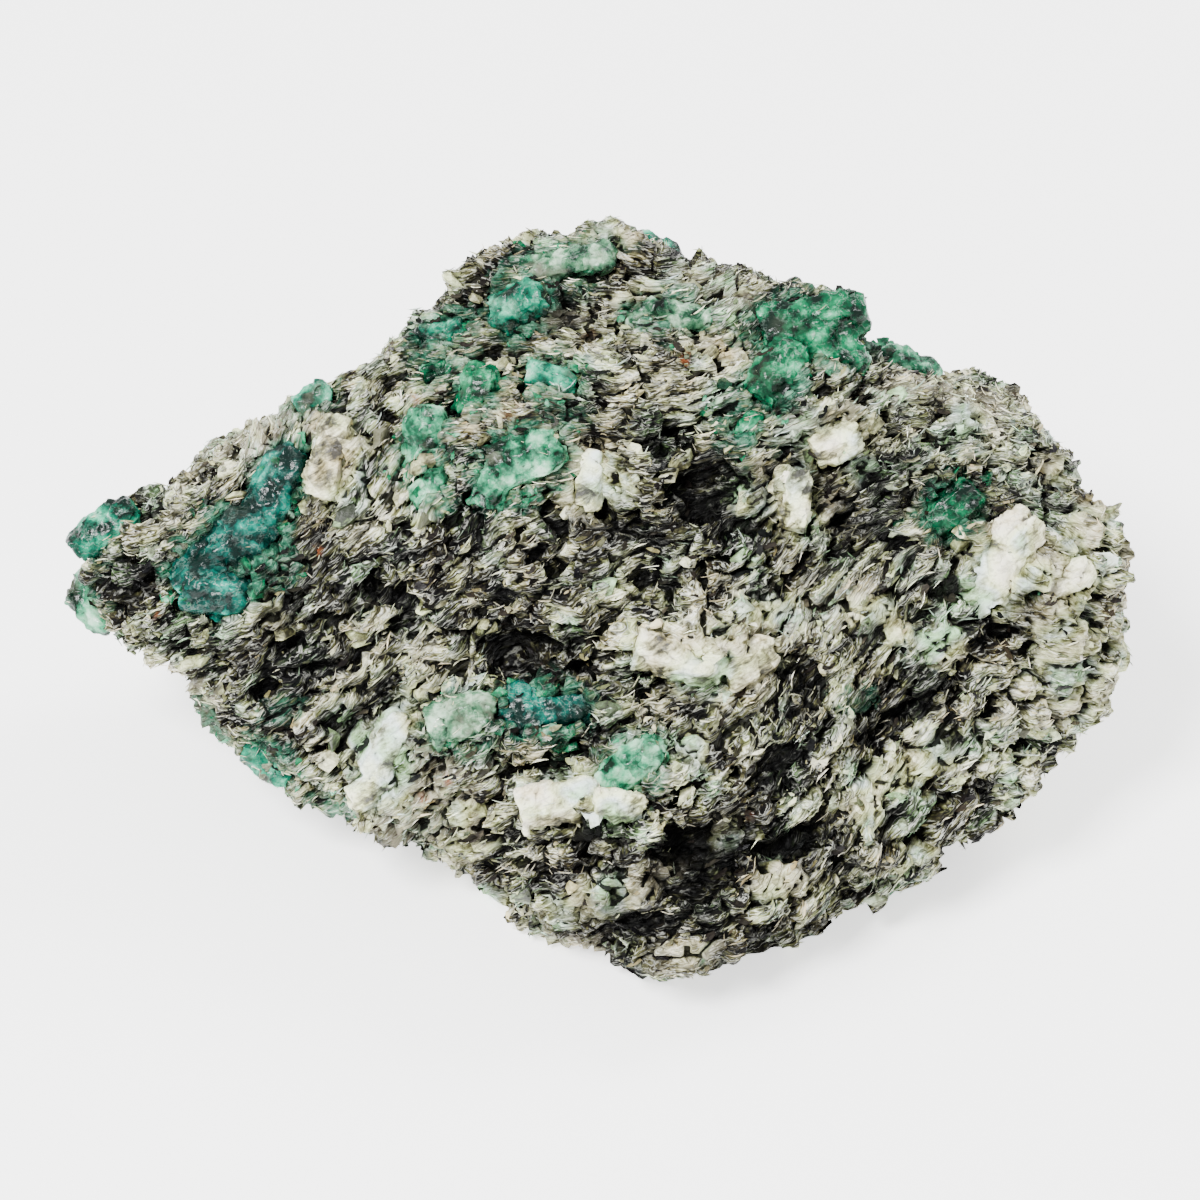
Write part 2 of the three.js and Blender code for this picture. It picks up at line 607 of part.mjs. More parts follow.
/** Crystals in their sockets, and the schist cut to take them. A crystal gives way to those before it. */
function buildSpecimen() {
  const specimen = new THREE.Group();
  const stone = new THREE.Mesh(stoneGeometry(), SCHIST);
  let sockets = baseCutter();
  const kinds = [
    { crystals: EMERALDS, sides: PRISM_SIDES, material: EMERALD },
    { crystals: FELDSPARS, sides: BLOCK_SIDES, material: FELDSPAR },
  ];
  for (const { crystals, sides, material } of kinds) {
    for (const crystal of crystals) {
      const solid = crystalSolid(stone, crystal, sides, 0).subtract(sockets);
      specimen.add(namedMesh(crystal.name, largestBody(solid), material));
      sockets = sockets.add(crystalSolid(stone, crystal, sides, SEAT_GAP));
    }
  }
  const matrix = solidOf(stone.geometry).subtract(sockets);
  specimen.add(namedMesh('matrix', largestBody(matrix), SCHIST));
  return specimen;
}

/** Moves the specimen so that the origin is under the middle of its box. */
function centred(specimen) {
  const middle = new THREE.Box3().setFromObject(specimen).getCenter(new THREE.Vector3());
  specimen.position.set(-middle.x, -middle.y, 0);
  return specimen;
}

const group = centred(buildSpecimen());

export default group;
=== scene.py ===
"""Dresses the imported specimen: fine mica schist, mica flakes, feldspar grains and cloudy beryl."""

import json
import logging
import math
from dataclasses import dataclass, field
from enum import Enum

import bmesh
import bpy
import numpy as np
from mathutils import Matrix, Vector
from mathutils.bvhtree import BVHTree

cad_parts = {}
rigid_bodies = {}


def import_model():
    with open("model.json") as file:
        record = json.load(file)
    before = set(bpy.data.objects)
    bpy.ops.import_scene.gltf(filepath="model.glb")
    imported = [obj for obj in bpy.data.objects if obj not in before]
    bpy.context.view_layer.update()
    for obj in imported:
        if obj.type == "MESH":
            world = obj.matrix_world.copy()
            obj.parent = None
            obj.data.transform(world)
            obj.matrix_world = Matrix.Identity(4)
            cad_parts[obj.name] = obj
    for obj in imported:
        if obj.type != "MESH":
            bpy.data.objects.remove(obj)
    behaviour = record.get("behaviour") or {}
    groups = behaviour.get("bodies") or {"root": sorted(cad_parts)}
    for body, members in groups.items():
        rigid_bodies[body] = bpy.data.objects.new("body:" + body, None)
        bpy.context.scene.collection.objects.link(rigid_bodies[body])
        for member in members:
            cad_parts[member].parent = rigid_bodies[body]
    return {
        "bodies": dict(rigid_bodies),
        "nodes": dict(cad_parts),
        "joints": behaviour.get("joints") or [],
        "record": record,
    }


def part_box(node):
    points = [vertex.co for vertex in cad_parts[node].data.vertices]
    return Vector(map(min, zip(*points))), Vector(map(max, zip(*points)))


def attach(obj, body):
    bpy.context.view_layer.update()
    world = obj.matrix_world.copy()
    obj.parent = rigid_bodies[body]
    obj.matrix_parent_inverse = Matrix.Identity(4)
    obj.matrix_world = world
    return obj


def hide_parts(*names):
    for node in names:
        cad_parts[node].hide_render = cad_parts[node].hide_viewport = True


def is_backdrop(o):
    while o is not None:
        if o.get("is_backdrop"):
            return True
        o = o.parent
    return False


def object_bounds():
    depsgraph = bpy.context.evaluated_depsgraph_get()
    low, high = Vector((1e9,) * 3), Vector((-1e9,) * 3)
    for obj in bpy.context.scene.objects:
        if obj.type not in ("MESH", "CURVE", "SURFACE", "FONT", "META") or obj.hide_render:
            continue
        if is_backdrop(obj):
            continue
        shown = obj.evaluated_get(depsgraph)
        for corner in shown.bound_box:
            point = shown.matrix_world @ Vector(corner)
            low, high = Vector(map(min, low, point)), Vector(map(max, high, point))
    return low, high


log = logging.getLogger("specimen")

MM = 0.001
PHOTO_WIDTH = 1200
PHOTO_SPAN = 1078  # pixels that the specimen is wide in the photograph
PHOTO_SHIFT = (-5, -4)  # pixels that the specimen's middle lies right of and below the photograph's middle
CAMERA_RISE = 40.0  # degrees that the camera looks down by
FOLIATION_TILT = 23.0  # degrees that the schist's layers rise by to the right
SPECIMEN = "root"
WELD = 2e-6  # metres within which the loose corners of a CAD node are one point

Size = tuple[float, float, float]
Stops = tuple[tuple[float, str], ...]


class Kind(Enum):
    """What a patch of the stone's skin is made of, and where shade and light are painted on it."""

    # recesses cut into the stone and darkened towards black as painted shade
    HOLLOW = "hollow"
    FELDSPAR = "feldspar"
    BERYL = "beryl"
    SILK = "silk"
    RUST = "rust"
    # paler skin: partly pale muscovite-rich, partly painted light
    PALE = "pale"
    # darker skin: partly dark biotite-rich, partly painted shade
    SHADE = "shade"


class Tone(Enum):
    """The colour group of a beryl crystal."""

    TEAL = "teal"
    TURQUOISE = "turquoise"
    MINT = "mint"
    MOSS = "moss"
    DULL = "dull"


@dataclass(frozen=True)
class Patch:
    """A patch of the show side, placed by its pixel in the 1200 pixel photograph.

    x and y are its middle, and across and tall its full sizes in pixels. turn is the angle in degrees that
    it is turned by, so that its across way rises to the right, and strength is its greatest weight.
    """

    x: float
    y: float
    across: float
    tall: float
    turn: float = 0.0
    strength: float = 1.0


PATCHES = {
    # hollows: recesses cut in and darkened towards black, as painted shade
    Kind.HOLLOW: (
        Patch(707, 490, 80, 74, 30), Patch(594, 273, 40, 20, 10), Patch(563, 305, 40, 26, 15),
        Patch(379, 592, 44, 20, -12), Patch(506, 597, 40, 20, 10), Patch(285, 643, 40, 24, 20),
        Patch(264, 690, 34, 22, 20), Patch(518, 658, 90, 52, -30, 0.8), Patch(828, 473, 48, 24, 35),
        Patch(946, 589, 40, 24, 25), Patch(1047, 461, 44, 22, -40, 0.8), Patch(915, 705, 90, 18, 27),
        Patch(872, 735, 100, 20, 27, 0.7), Patch(806, 676, 34, 56, 20, 0.7), Patch(705, 855, 120, 80, 20),
        Patch(573, 752, 32, 34, 30), Patch(574, 822, 46, 16, 10), Patch(602, 846, 46, 26, 15),
        Patch(798, 842, 80, 30, 24), Patch(633, 933, 92, 42, 20), Patch(503, 891, 22, 40, 20),
        Patch(947, 850, 30, 22, 30), Patch(640, 560, 60, 30, 10, 0.3), Patch(140, 600, 46, 30, 20, 0.6),
        Patch(880, 600, 46, 20, 20, 0.8), Patch(860, 480, 60, 26, 45, 0.6), Patch(668, 440, 34, 20, 40),
        Patch(408, 600, 30, 14, -20), Patch(782, 768, 66, 46, 32), Patch(583, 835, 50, 26, 10),
    ),
    Kind.FELDSPAR: (
        Patch(590, 481, 33, 60, 82), Patch(620, 484, 26, 26, 0), Patch(330, 455, 54, 88, 10),
        Patch(475, 423, 22, 18, 0), Patch(831, 445, 52, 38, 26), Patch(792, 500, 34, 64, 8),
        Patch(747, 499, 34, 36, 0), Patch(753, 468, 24, 20, 0), Patch(968, 418, 34, 30, 0),
        Patch(1000, 560, 96, 56, 56), Patch(1062, 578, 66, 46, 12), Patch(1090, 520, 40, 60, -20, 0.7),
        Patch(1070, 660, 60, 120, 20, 0.6), Patch(870, 610, 52, 32, 20), Patch(900, 634, 32, 30, 0),
        Patch(941, 645, 50, 44, 10), Patch(703, 658, 140, 54, -10), Patch(753, 656, 46, 44, 0),
        Patch(765, 613, 56, 26, 14), Patch(582, 793, 118, 40, 12), Patch(693, 748, 30, 34, 20),
        Patch(725, 832, 38, 38, 0, 0.8), Patch(775, 880, 54, 42, 20, 0.8), Patch(908, 773, 100, 34, 24),
        Patch(868, 812, 32, 28, 0), Patch(926, 853, 30, 16, 20), Patch(417, 713, 34, 50, 10),
        Patch(382, 765, 62, 98, 10), Patch(465, 813, 36, 26, 0), Patch(454, 852, 66, 32, 12, 0.7),
        Patch(604, 240, 66, 26, 6), Patch(732, 350, 22, 22, 0), Patch(234, 608, 74, 30, 10, 0.6),
        Patch(275, 617, 26, 40, 20, 0.8), Patch(600, 898, 120, 44, 18, 0.6),
        Patch(680, 955, 90, 30, 10, 0.7), Patch(640, 300, 50, 24, 10, 0.7),
        Patch(700, 345, 60, 26, -18, 0.6), Patch(990, 840, 50, 24, 28, 0.6),
    ),
    Kind.BERYL: (
        Patch(95, 530, 60, 40, 42), Patch(74, 575, 30, 32, 0), Patch(80, 608, 40, 32, -40),
        Patch(232, 556, 110, 84, 38), Patch(283, 478, 70, 44, 62), Patch(312, 388, 40, 30, 35),
        Patch(520, 305, 60, 52, 20), Patch(441, 330, 60, 24, 18), Patch(438, 367, 26, 20, 0),
        Patch(475, 388, 40, 54, 10), Patch(551, 384, 50, 42, -8), Patch(425, 448, 46, 78, -8),
        Patch(433, 499, 32, 30, 0), Patch(522, 466, 92, 66, 25), Patch(563, 433, 24, 16, 0),
        Patch(661, 237, 52, 34, -24), Patch(560, 260, 106, 30, 10, 0.6), Patch(688, 315, 60, 30, -12, 0.6),
        Patch(645, 311, 44, 24, 20), Patch(812, 330, 116, 70, 6), Patch(780, 376, 76, 54, 40),
        Patch(745, 427, 30, 38, 50), Patch(913, 358, 56, 48, -26), Patch(892, 340, 22, 42, 6),
        Patch(956, 367, 26, 14, 0), Patch(947, 508, 62, 54, 36), Patch(632, 758, 66, 48, 34, 0.6),
        Patch(548, 711, 84, 50, 10), Patch(465, 713, 74, 48, 20, 0.5), Patch(281, 711, 46, 22, 10, 0.6),
        Patch(423, 820, 34, 24, 0, 0.6), Patch(268, 762, 60, 38, -36, 0.8),
        Patch(335, 805, 46, 20, -14, 0.8), Patch(855, 700, 38, 24, 20, 0.6),
        Patch(1005, 385, 36, 20, -36, 0.5), Patch(180, 690, 40, 20, -30, 0.5),
        Patch(281, 568, 44, 36, 20, 0.6), Patch(572, 418, 36, 24, 0, 0.6), Patch(298, 455, 40, 44, 60, 0.7),
        Patch(421, 306, 36, 26, 30, 0.5),
    ),
    Kind.SILK: (
        Patch(250, 430, 130, 46, 34), Patch(190, 455, 60, 32, 20, 0.7), Patch(380, 360, 90, 26, 38, 0.7),
        Patch(850, 410, 180, 26, 20, 0.8), Patch(960, 395, 100, 26, -20, 0.8),
        Patch(720, 290, 110, 26, -20, 0.6), Patch(540, 320, 150, 20, 6, 0.5),
        Patch(800, 620, 150, 34, 24, 0.6), Patch(640, 880, 120, 26, 24, 0.6),
    ),
    Kind.RUST: (
        Patch(414, 400, 12, 12, 0), Patch(506, 410, 26, 18, 20, 0.3), Patch(687, 359, 10, 10, 0),
        Patch(997, 526, 9, 9, 0), Patch(749, 815, 9, 7, 0), Patch(447, 782, 9, 9, 0),
        Patch(424, 800, 8, 8, 0), Patch(180, 581, 8, 8, 0), Patch(157, 617, 9, 9, 0),
        Patch(318, 551, 8, 8, 0), Patch(589, 336, 14, 8, 0, 0.6),
    ),
    # pale patches: partly pale muscovite-rich skin, partly painted light
    Kind.PALE: (
        Patch(993, 740, 80, 60, 30), Patch(600, 340, 110, 40, 8), Patch(709, 400, 60, 60, 30),
        Patch(690, 640, 90, 40, -10), Patch(428, 646, 60, 46, 20), Patch(303, 796, 70, 36, -20),
        Patch(705, 780, 40, 34, 20), Patch(790, 620, 110, 44, 10), Patch(500, 372, 80, 34, 10),
        Patch(407, 389, 50, 40, 40), Patch(1118, 615, 50, 90, 70), Patch(718, 368, 80, 30, 10),
        Patch(925, 740, 80, 36, 26), Patch(560, 782, 90, 34, 10), Patch(240, 430, 120, 40, 36),
        Patch(870, 780, 60, 30, 24), Patch(1105, 560, 60, 150, -10), Patch(1010, 440, 80, 100, 40),
        Patch(1040, 700, 130, 70, 50), Patch(975, 748, 90, 50, 30), Patch(823, 597, 80, 40, 20),
        Patch(946, 441, 70, 40, -30), Patch(375, 512, 50, 60, 60), Patch(452, 666, 60, 50, 20),
        Patch(524, 865, 60, 40, 20), Patch(633, 564, 60, 24, -10), Patch(619, 436, 40, 40, 20),
        Patch(1119, 664, 50, 70, 70), Patch(1092, 715, 60, 60, 60), Patch(1105, 625, 60, 50, 70),
        Patch(591, 334, 60, 30, 10), Patch(495, 350, 50, 30, 10), Patch(687, 618, 60, 30, 0),
        Patch(880, 835, 50, 30, 20), Patch(989, 741, 60, 40, 30), Patch(710, 421, 40, 40, 30),
        Patch(316, 790, 70, 50, -20), Patch(470, 710, 50, 36, 0), Patch(636, 755, 50, 40, 0),
        Patch(523, 461, 70, 44, 20, 0.8), Patch(752, 388, 44, 36, 40, 0.8), Patch(850, 308, 50, 24, 0),
        Patch(748, 353, 40, 24, 20), Patch(325, 750, 40, 30, 0), Patch(893, 437, 40, 30, 0),
        Patch(1104, 662, 50, 60, 70), Patch(223, 475, 60, 30, 30), Patch(950, 727, 60, 36, 20),
        Patch(682, 789, 50, 34, 20), Patch(640, 289, 50, 24, 0), Patch(498, 765, 40, 30, 0),
        Patch(460, 342, 60, 24, 10), Patch(445, 430, 34, 26, 0),
    ),
    # shade patches: partly dark biotite-rich skin, partly painted shade
    Kind.SHADE: (
        Patch(705, 858, 130, 90, 20), Patch(947, 508, 74, 60, 36), Patch(310, 494, 50, 40, 30),
        Patch(950, 852, 44, 30, 30), Patch(814, 850, 60, 36, 24), Patch(288, 688, 60, 40, 20),
        Patch(528, 420, 50, 26, 10), Patch(968, 476, 40, 40, 0), Patch(743, 950, 80, 40, 10),
        Patch(838, 416, 50, 20, 20), Patch(627, 824, 44, 34, 10), Patch(771, 528, 50, 40, 30),
        Patch(830, 731, 60, 34, 27), Patch(745, 470, 40, 30, 30), Patch(592, 562, 50, 34, 0),
        Patch(446, 609, 50, 34, -20), Patch(484, 584, 40, 30, 0), Patch(613, 858, 50, 30, 10),
        Patch(777, 955, 50, 26, 20), Patch(949, 866, 40, 24, 30), Patch(552, 712, 90, 54, 10),
        Patch(785, 335, 50, 60, 0, 0.7), Patch(616, 975, 70, 26, 6), Patch(600, 920, 70, 40, 20),
        Patch(494, 905, 50, 40, 20), Patch(434, 542, 50, 40, -20), Patch(592, 858, 60, 30, 10),
        Patch(846, 458, 44, 30, 20), Patch(436, 588, 50, 30, -20), Patch(954, 523, 40, 40, 0),
        Patch(1029, 606, 40, 30, 20), Patch(246, 555, 110, 90, 40), Patch(762, 486, 30, 30, 0),
        Patch(580, 828, 60, 40, 10), Patch(621, 816, 50, 30, 20), Patch(820, 494, 40, 50, 30),
        Patch(778, 516, 40, 30, 0), Patch(839, 462, 40, 24, 20), Patch(612, 972, 60, 30, 10),
        Patch(1023, 606, 40, 30, 20), Patch(246, 530, 90, 80, 40), Patch(298, 465, 44, 50, 0),
        Patch(607, 526, 70, 44, 10), Patch(323, 590, 60, 44, -20), Patch(600, 922, 60, 24, 20),
        Patch(560, 660, 80, 50, -20), Patch(756, 826, 70, 34, 20), Patch(300, 640, 90, 60, -30),
        Patch(525, 648, 100, 60, -30), Patch(880, 504, 80, 50, 45), Patch(905, 690, 110, 36, 27),
        Patch(690, 500, 100, 80, 30), Patch(540, 326, 60, 20, 10), Patch(640, 960, 80, 30, 6),
        Patch(490, 900, 60, 24, 20), Patch(130, 590, 80, 50, 10),
    ),
}

BERYL_TONES = {
    "emerald_left_tip": Tone.TURQUOISE,
    "emerald_left_point": Tone.MINT,
    "emerald_left_face": Tone.TEAL,
    "emerald_left_rim": Tone.TURQUOISE,
    "emerald_knob": Tone.TURQUOISE,
    "emerald_plateau_strip": Tone.TURQUOISE,
    "emerald_ridge_left": Tone.MOSS,
    "emerald_ridge_bead": Tone.MOSS,
    "emerald_ridge_right": Tone.TURQUOISE,
    "emerald_brow_left": Tone.MINT,
    "emerald_brow_cluster": Tone.MINT,
    "emerald_top_tip": Tone.TURQUOISE,
    "emerald_plateau_streak": Tone.DULL,
    "emerald_plateau_wedge": Tone.DULL,
    "emerald_right_brow": Tone.MOSS,
    "emerald_right_hollow": Tone.MOSS,
    "emerald_right_edge": Tone.MINT,
    "emerald_right_dark": Tone.MOSS,
    "emerald_low_pale": Tone.MINT,
    "emerald_low_teal": Tone.TEAL,
    "emerald_low_dull": Tone.DULL,
    "emerald_low_edge": Tone.TURQUOISE,
    "emerald_back_upper": Tone.MOSS,
    "emerald_back_middle": Tone.TURQUOISE,
    "emerald_back_right": Tone.TEAL,
}


def linear(code: str) -> tuple[float, float, float, float]:
    """Turns an sRGB hex colour to linear.

    Args:
        code: The colour as "#rrggbb".

    Returns:
        Linear red, green, blue and an alpha of 1.
    """
    channels = [int(code[i : i + 2], 16) / 255 for i in (1, 3, 5)]
    red, green, blue = (c / 12.92 if c <= 0.04045 else ((c + 0.055) / 1.055) ** 2.4 for c in channels)
    return red, green, blue, 1.0


def add_node(
    tree: bpy.types.NodeTree, kind: str, inputs: dict | None = None, **settings: object
) -> bpy.types.Node:
    """Adds one node to a tree.

    Args:
        tree: The shader or geometry tree.
        kind: The node's type name.
        inputs: Socket name or index to a value, or to the output socket that feeds it.
        settings: The node's own properties.

    Returns:
        The new node.
    """
    node = tree.nodes.new(kind)
    for name, value in settings.items():
        setattr(node, name, value)
    for key, value in (inputs or {}).items():
        socket = node.inputs[key]
        if isinstance(value, bpy.types.NodeSocket):
            tree.links.new(value, socket)
        else:
            socket.default_value = value
    return node


class PhotoCamera:
    """The photograph's camera: a long lens that looks down on the show side."""

    LENS = 135.0  # millimetres, as the sensor's width is
    SENSOR = 36.0
    NEAREST = 0.01  # metres in front of it where its view begins

    def __init__(self, corners: np.ndarray) -> None:
        """Aims the camera so that the specimen fills the photograph's frame as it does in the photograph.

        Args:
            corners: Points of the CAD solids, in metres.
        """
        rise = math.radians(CAMERA_RISE)
        self.right = np.array([1.0, 0.0, 0.0])
        self.up = np.array([0.0, math.sin(rise), math.cos(rise)])
        self.back = np.array([0.0, -math.cos(rise), math.sin(rise)])
        across, height, depth = corners @ self.right, corners @ self.up, corners @ self.back
        span = across.max() - across.min()
        view_width = span * PHOTO_WIDTH / PHOTO_SPAN
        distance = view_width * self.LENS / self.SENSOR
        middle = (
            self.right * (across.max() + across.min()) / 2
            + self.up * (height.max() + height.min()) / 2
            + self.back * np.median(depth)
        )
        pixel = view_width / PHOTO_WIDTH
        middle += (self.up * PHOTO_SHIFT[1] - self.right * PHOTO_SHIFT[0]) * pixel
        self.place = middle + self.back * distance

    def create(self) -> bpy.types.Object:
        """Makes the camera object and gives it to the scene.

        Returns:
            The camera.
        """
        data = bpy.data.cameras.new("photo_camera")
        data.lens = self.LENS
        data.sensor_width = self.SENSOR
        data.clip_start = self.NEAREST
        camera = bpy.data.objects.new("photo_camera", data)
        camera.location = self.place
        camera.rotation_euler = (math.radians(90 - CAMERA_RISE), 0, 0)
        bpy.context.scene.collection.objects.link(camera)
        bpy.context.scene.camera = camera
        return camera

    def pixels(self, points: np.ndarray) -> tuple[np.ndarray, np.ndarray, np.ndarray]:
        """Finds where points fall in the photograph.

        Args:
            points: Points in metres.

        Returns:
            Pixel x, pixel y and distance in front of the camera, one each per point.
        """
        local = points - self.place
        depth = -(local @ self.back)
        scale = PHOTO_WIDTH * self.LENS / self.SENSOR
        return (
            PHOTO_WIDTH / 2 + scale * (local @ self.right) / depth,
            PHOTO_WIDTH / 2 - scale * (local @ self.up) / depth,
            depth,
        )

    def ray(self, x: float, y: float) -> tuple[Vector, Vector]:
        """Gives the line of sight through a pixel.

        Args:
            x: Pixel column.
            y: Pixel row.

        Returns:
            The camera's place and the direction of sight.
        """
        scale = PHOTO_WIDTH * self.LENS / self.SENSOR
        way = self.right * (x - PHOTO_WIDTH / 2) - self.up * (y - PHOTO_WIDTH / 2) - self.back * scale
        return Vector(self.place), Vector(way).normalized()


class Noise:
    """Repeatable three-dimensional noise for many points at once."""

    SIZE = 256  # length of its tables, a power of two
    SHIFTS = (0, 85, 170)  # where in the table a cell's seed takes each of its coordinates from
    STEP = 0.5  # how far the facets' heights differ, over the facet size

    def __init__(self, seed: int) -> None:
        """Shuffles the noise's own table.

        Args:
            seed: Fixes the pattern.
        """
        rng = np.random.default_rng(seed)
        self.table = np.tile(rng.permutation(self.SIZE), 3)
        self.values = rng.random(self.SIZE)
        self.slopes = rng.normal(size=(self.SIZE, 3))
        self.slopes /= np.linalg.norm(self.slopes, axis=1)[:, None]

    def _hash(self, cell: np.ndarray) -> np.ndarray:
        """Gives each whole-number cell its place in the tables."""
        x, y, z = (cell[:, i] & (self.SIZE - 1) for i in range(3))
        return self.table[self.table[self.table[x] + y] + z]

    def smooth(self, points: np.ndarray) -> np.ndarray:
        """Gradient noise of about -0.6 to 0.6, with bumps one unit across.

        Args:
            points: Points, already divided by the bump size.

        Returns:
            One value per point.
        """
        cell = np.floor(points).astype(np.int64)
        part = points - cell
        ease = part * part * part * (part * (part * 6 - 15) + 10)
        total = np.zeros(len(points))
        for corner in np.ndindex(2, 2, 2):
            step = np.array(corner)
            weight = np.prod(np.where(step == 1, ease, 1 - ease), axis=1)
            total += weight * np.einsum("ij,ij->i", self.slopes[self._hash(cell + step)], part - step)
        return total

    def cells(self, points: np.ndarray) -> tuple[np.ndarray, np.ndarray, np.ndarray]:
        """Splits space into irregular cells one unit across.

        Args:
            points: Points, already divided by the cell size.

        Returns:
            Each point's cell number from 0 to 255, its offset from the cell's seed, and how much nearer that
            seed is than the next one.
        """
        base = np.floor(points).astype(np.int64)
        nearest = np.full(len(points), np.inf)
        second = np.full(len(points), np.inf)
        number = np.zeros(len(points), dtype=np.int64)
        offset = np.zeros_like(points)
        for step in np.ndindex(3, 3, 3):
            cell = base + np.array(step) - 1
            key = self._hash(cell)
            parts = [self.values[(key + shift) & (self.SIZE - 1)] for shift in self.SHIFTS]
            away = points - (cell + np.stack(parts, axis=1))
            distance = np.linalg.norm(away, axis=1)
            closer = distance < nearest
            second = np.where(closer, nearest, np.minimum(second, distance))
            nearest = np.where(closer, distance, nearest)
            number = np.where(closer, key, number)
            offset = np.where(closer[:, None], away, offset)
        return number, offset, second - nearest

    def facets(self, points: np.ndarray, tilt: float) -> np.ndarray:
        """Heights of a surface broken into tilted flat facets.

        Args:
            points: Points, already divided by the facet size.
            tilt: How strongly a facet leans, as a slope.

        Returns:
            Heights of about -0.5 to 0.5 in facet sizes.
        """
        number, offset, _ = self.cells(points)
        lean = np.einsum("ij,ij->i", self.slopes[number], offset)
        return (self.values[number] - 0.5) * self.STEP + tilt * lean


@dataclass
class Foliation:
    """The schist's layers: they rise to the right, arch over the right brow and flatten out on the plateau.

    The tilt is in degrees and sizes are in millimetres. A slope is the pile's height over a way along X or Y.
    """

    tilt: float = FOLIATION_TILT
    back_slope: float = 0.03
    fold_height: float = 1.6
    fold_length: float = 19.0
    fold_drift: float = 31.0
    wave_height: float = 1.2
    wave_size: float = 8.0
    arch_height: float = 6.0
    arch_middle: tuple[float, float] = (25.0, 25.0)
    arch_size: tuple[float, float] = (12.0, 10.0)
    arch_foot: float = 26.0
    plateau_height: float = 27.0
    plateau_blend: float = 6.0
    plateau_slopes: tuple[float, float] = (0.22, 0.25)
    curl_height: float = 0.45
    curl_size: float = 2.6
    probe: float = 0.25
    waver: Noise = field(default_factory=lambda: Noise(11))
    curls: Noise = field(default_factory=lambda: Noise(12))

    def height(self, points: np.ndarray) -> np.ndarray:
        """Measures points across the layers.

        Args:
            points: Points in millimetres.

        Returns:
            Height in the pile of layers, in millimetres.
        """
        x, y, z = points.T
        tilt = math.radians(self.tilt)
        plain = -math.sin(tilt) * x + self.back_slope * y + math.cos(tilt) * z
        roll = self.fold_height * np.sin(math.pi * x / self.fold_length + y / self.fold_drift)
        across = (x - self.arch_middle[0]) / self.arch_size[0]
        reach = np.where(z < self.arch_middle[1], self.arch_foot, self.arch_size[1])
        above = (z - self.arch_middle[1]) / reach
        arch = -self.arch_height * np.exp(-(across**2) - above**2)
        slope = self.plateau_slopes[0] * x + self.plateau_slopes[1] * y
        flat = np.clip((z - self.plateau_height) / self.plateau_blend, 0, 1) * slope
        waves = self.wave_height * self.waver.smooth(points / self.wave_size)
        curls = self.curl_height * self.curls.smooth(points / self.curl_size)
        return plain + roll + arch + flat + waves + curls

    def normal(self, points: np.ndarray) -> np.ndarray:
        """Finds the layers' upward normal at points by small steps.

        Args:
            points: Points in millimetres.

        Returns:
            One unit vector per point.
        """
        slopes = []
        for axis in np.eye(3):
            step = self.probe * axis
            slopes.append((self.height(points + step) - self.height(points - step)) / (2 * self.probe))
        normal = np.stack(slopes, axis=1)
        return normal / np.linalg.norm(normal, axis=1)[:, None]

    def fabric(self, points: np.ndarray) -> np.ndarray:
        """Coordinates in millimetres that follow the layers: two along a layer and one across it."""
        return np.column_stack([points[:, 0], points[:, 1], self.height(points)])


def mesh_points(mesh: bpy.types.Mesh) -> np.ndarray:
    """Reads a mesh's vertices.

    Args:
        mesh: The mesh.

    Returns:
        One row in metres per vertex.
    """
    flat = np.empty(len(mesh.vertices) * 3, dtype=np.float64)
    mesh.vertices.foreach_get("co", flat)
    return flat.reshape(-1, 3)


def mesh_normals(mesh: bpy.types.Mesh) -> np.ndarray:
    """Reads a mesh's vertex normals.

    Args:
        mesh: The mesh.

    Returns:
        One unit vector per vertex.
    """
    flat = np.empty(len(mesh.vertices) * 3, dtype=np.float32)
    mesh.vertex_normals.foreach_get("vector", flat)
    return flat.reshape(-1, 3).astype(np.float64)


def move_points(mesh: bpy.types.Mesh, points: np.ndarray) -> None:
    """Writes a mesh's vertices back."""
    mesh.vertices.foreach_set("co", points.astype(np.float32).ravel())
    mesh.update()


def store(mesh: bpy.types.Mesh, name: str, values: np.ndarray) -> None:
    """Keeps one number or one vector per vertex on a mesh.

    Args:
        mesh: The mesh.
        name: The attribute's name.
        values: One row per vertex.
    """
    vector = values.ndim == 2
    layer = mesh.attributes.new(name, "FLOAT_VECTOR" if vector else "FLOAT", "POINT")
    layer.data.foreach_set("vector" if vector else "value", values.astype(np.float32).ravel())


def triangles(obj: bpy.types.Object) -> int:
    """Counts the triangles of a mesh object."""
    return len(obj.data.loops) - 2 * len(obj.data.polygons)


def merged_copy(node: bpy.types.Object, name: str) -> bpy.types.Object:
    """Copies a CAD node's loose triangles into one joined mesh.

    Args:
        node: The CAD node's object.
        name: The copy's name.

    Returns:
        A new object in the scene.
    """
    work = bmesh.new()
    work.from_mesh(node.data)
    bmesh.ops.remove_doubles(work, verts=work.verts, dist=WELD)
    mesh = bpy.data.meshes.new(name)
    work.to_mesh(mesh)
    work.free()
    copy = bpy.data.objects.new(name, mesh)
    bpy.context.scene.collection.objects.link(copy)
    return copy


def draw_in(obj: bpy.types.Object, box: list[list[float]]) -> None:
    """Draws in the few points of an object that stick out of a box.

    Args:
        obj: The object.
        box: The box's lowest and highest corner.
    """
    move_points(obj.data, np.clip(mesh_points(obj.data), box[0], box[1]))


def settled(obj: bpy.types.Object) -> bpy.types.Object:
    """Turns an object's modifiers into plain mesh and removes them.

    Args:
        obj: The object.

    Returns:
        The same object.
    """
    evaluated = obj.evaluated_get(bpy.context.evaluated_depsgraph_get())
    mesh = bpy.data.meshes.new_from_object(evaluated)
    old = obj.data
    obj.modifiers.clear()
    obj.data = mesh
    bpy.data.meshes.remove(old)
    mesh.name = obj.name
    return obj


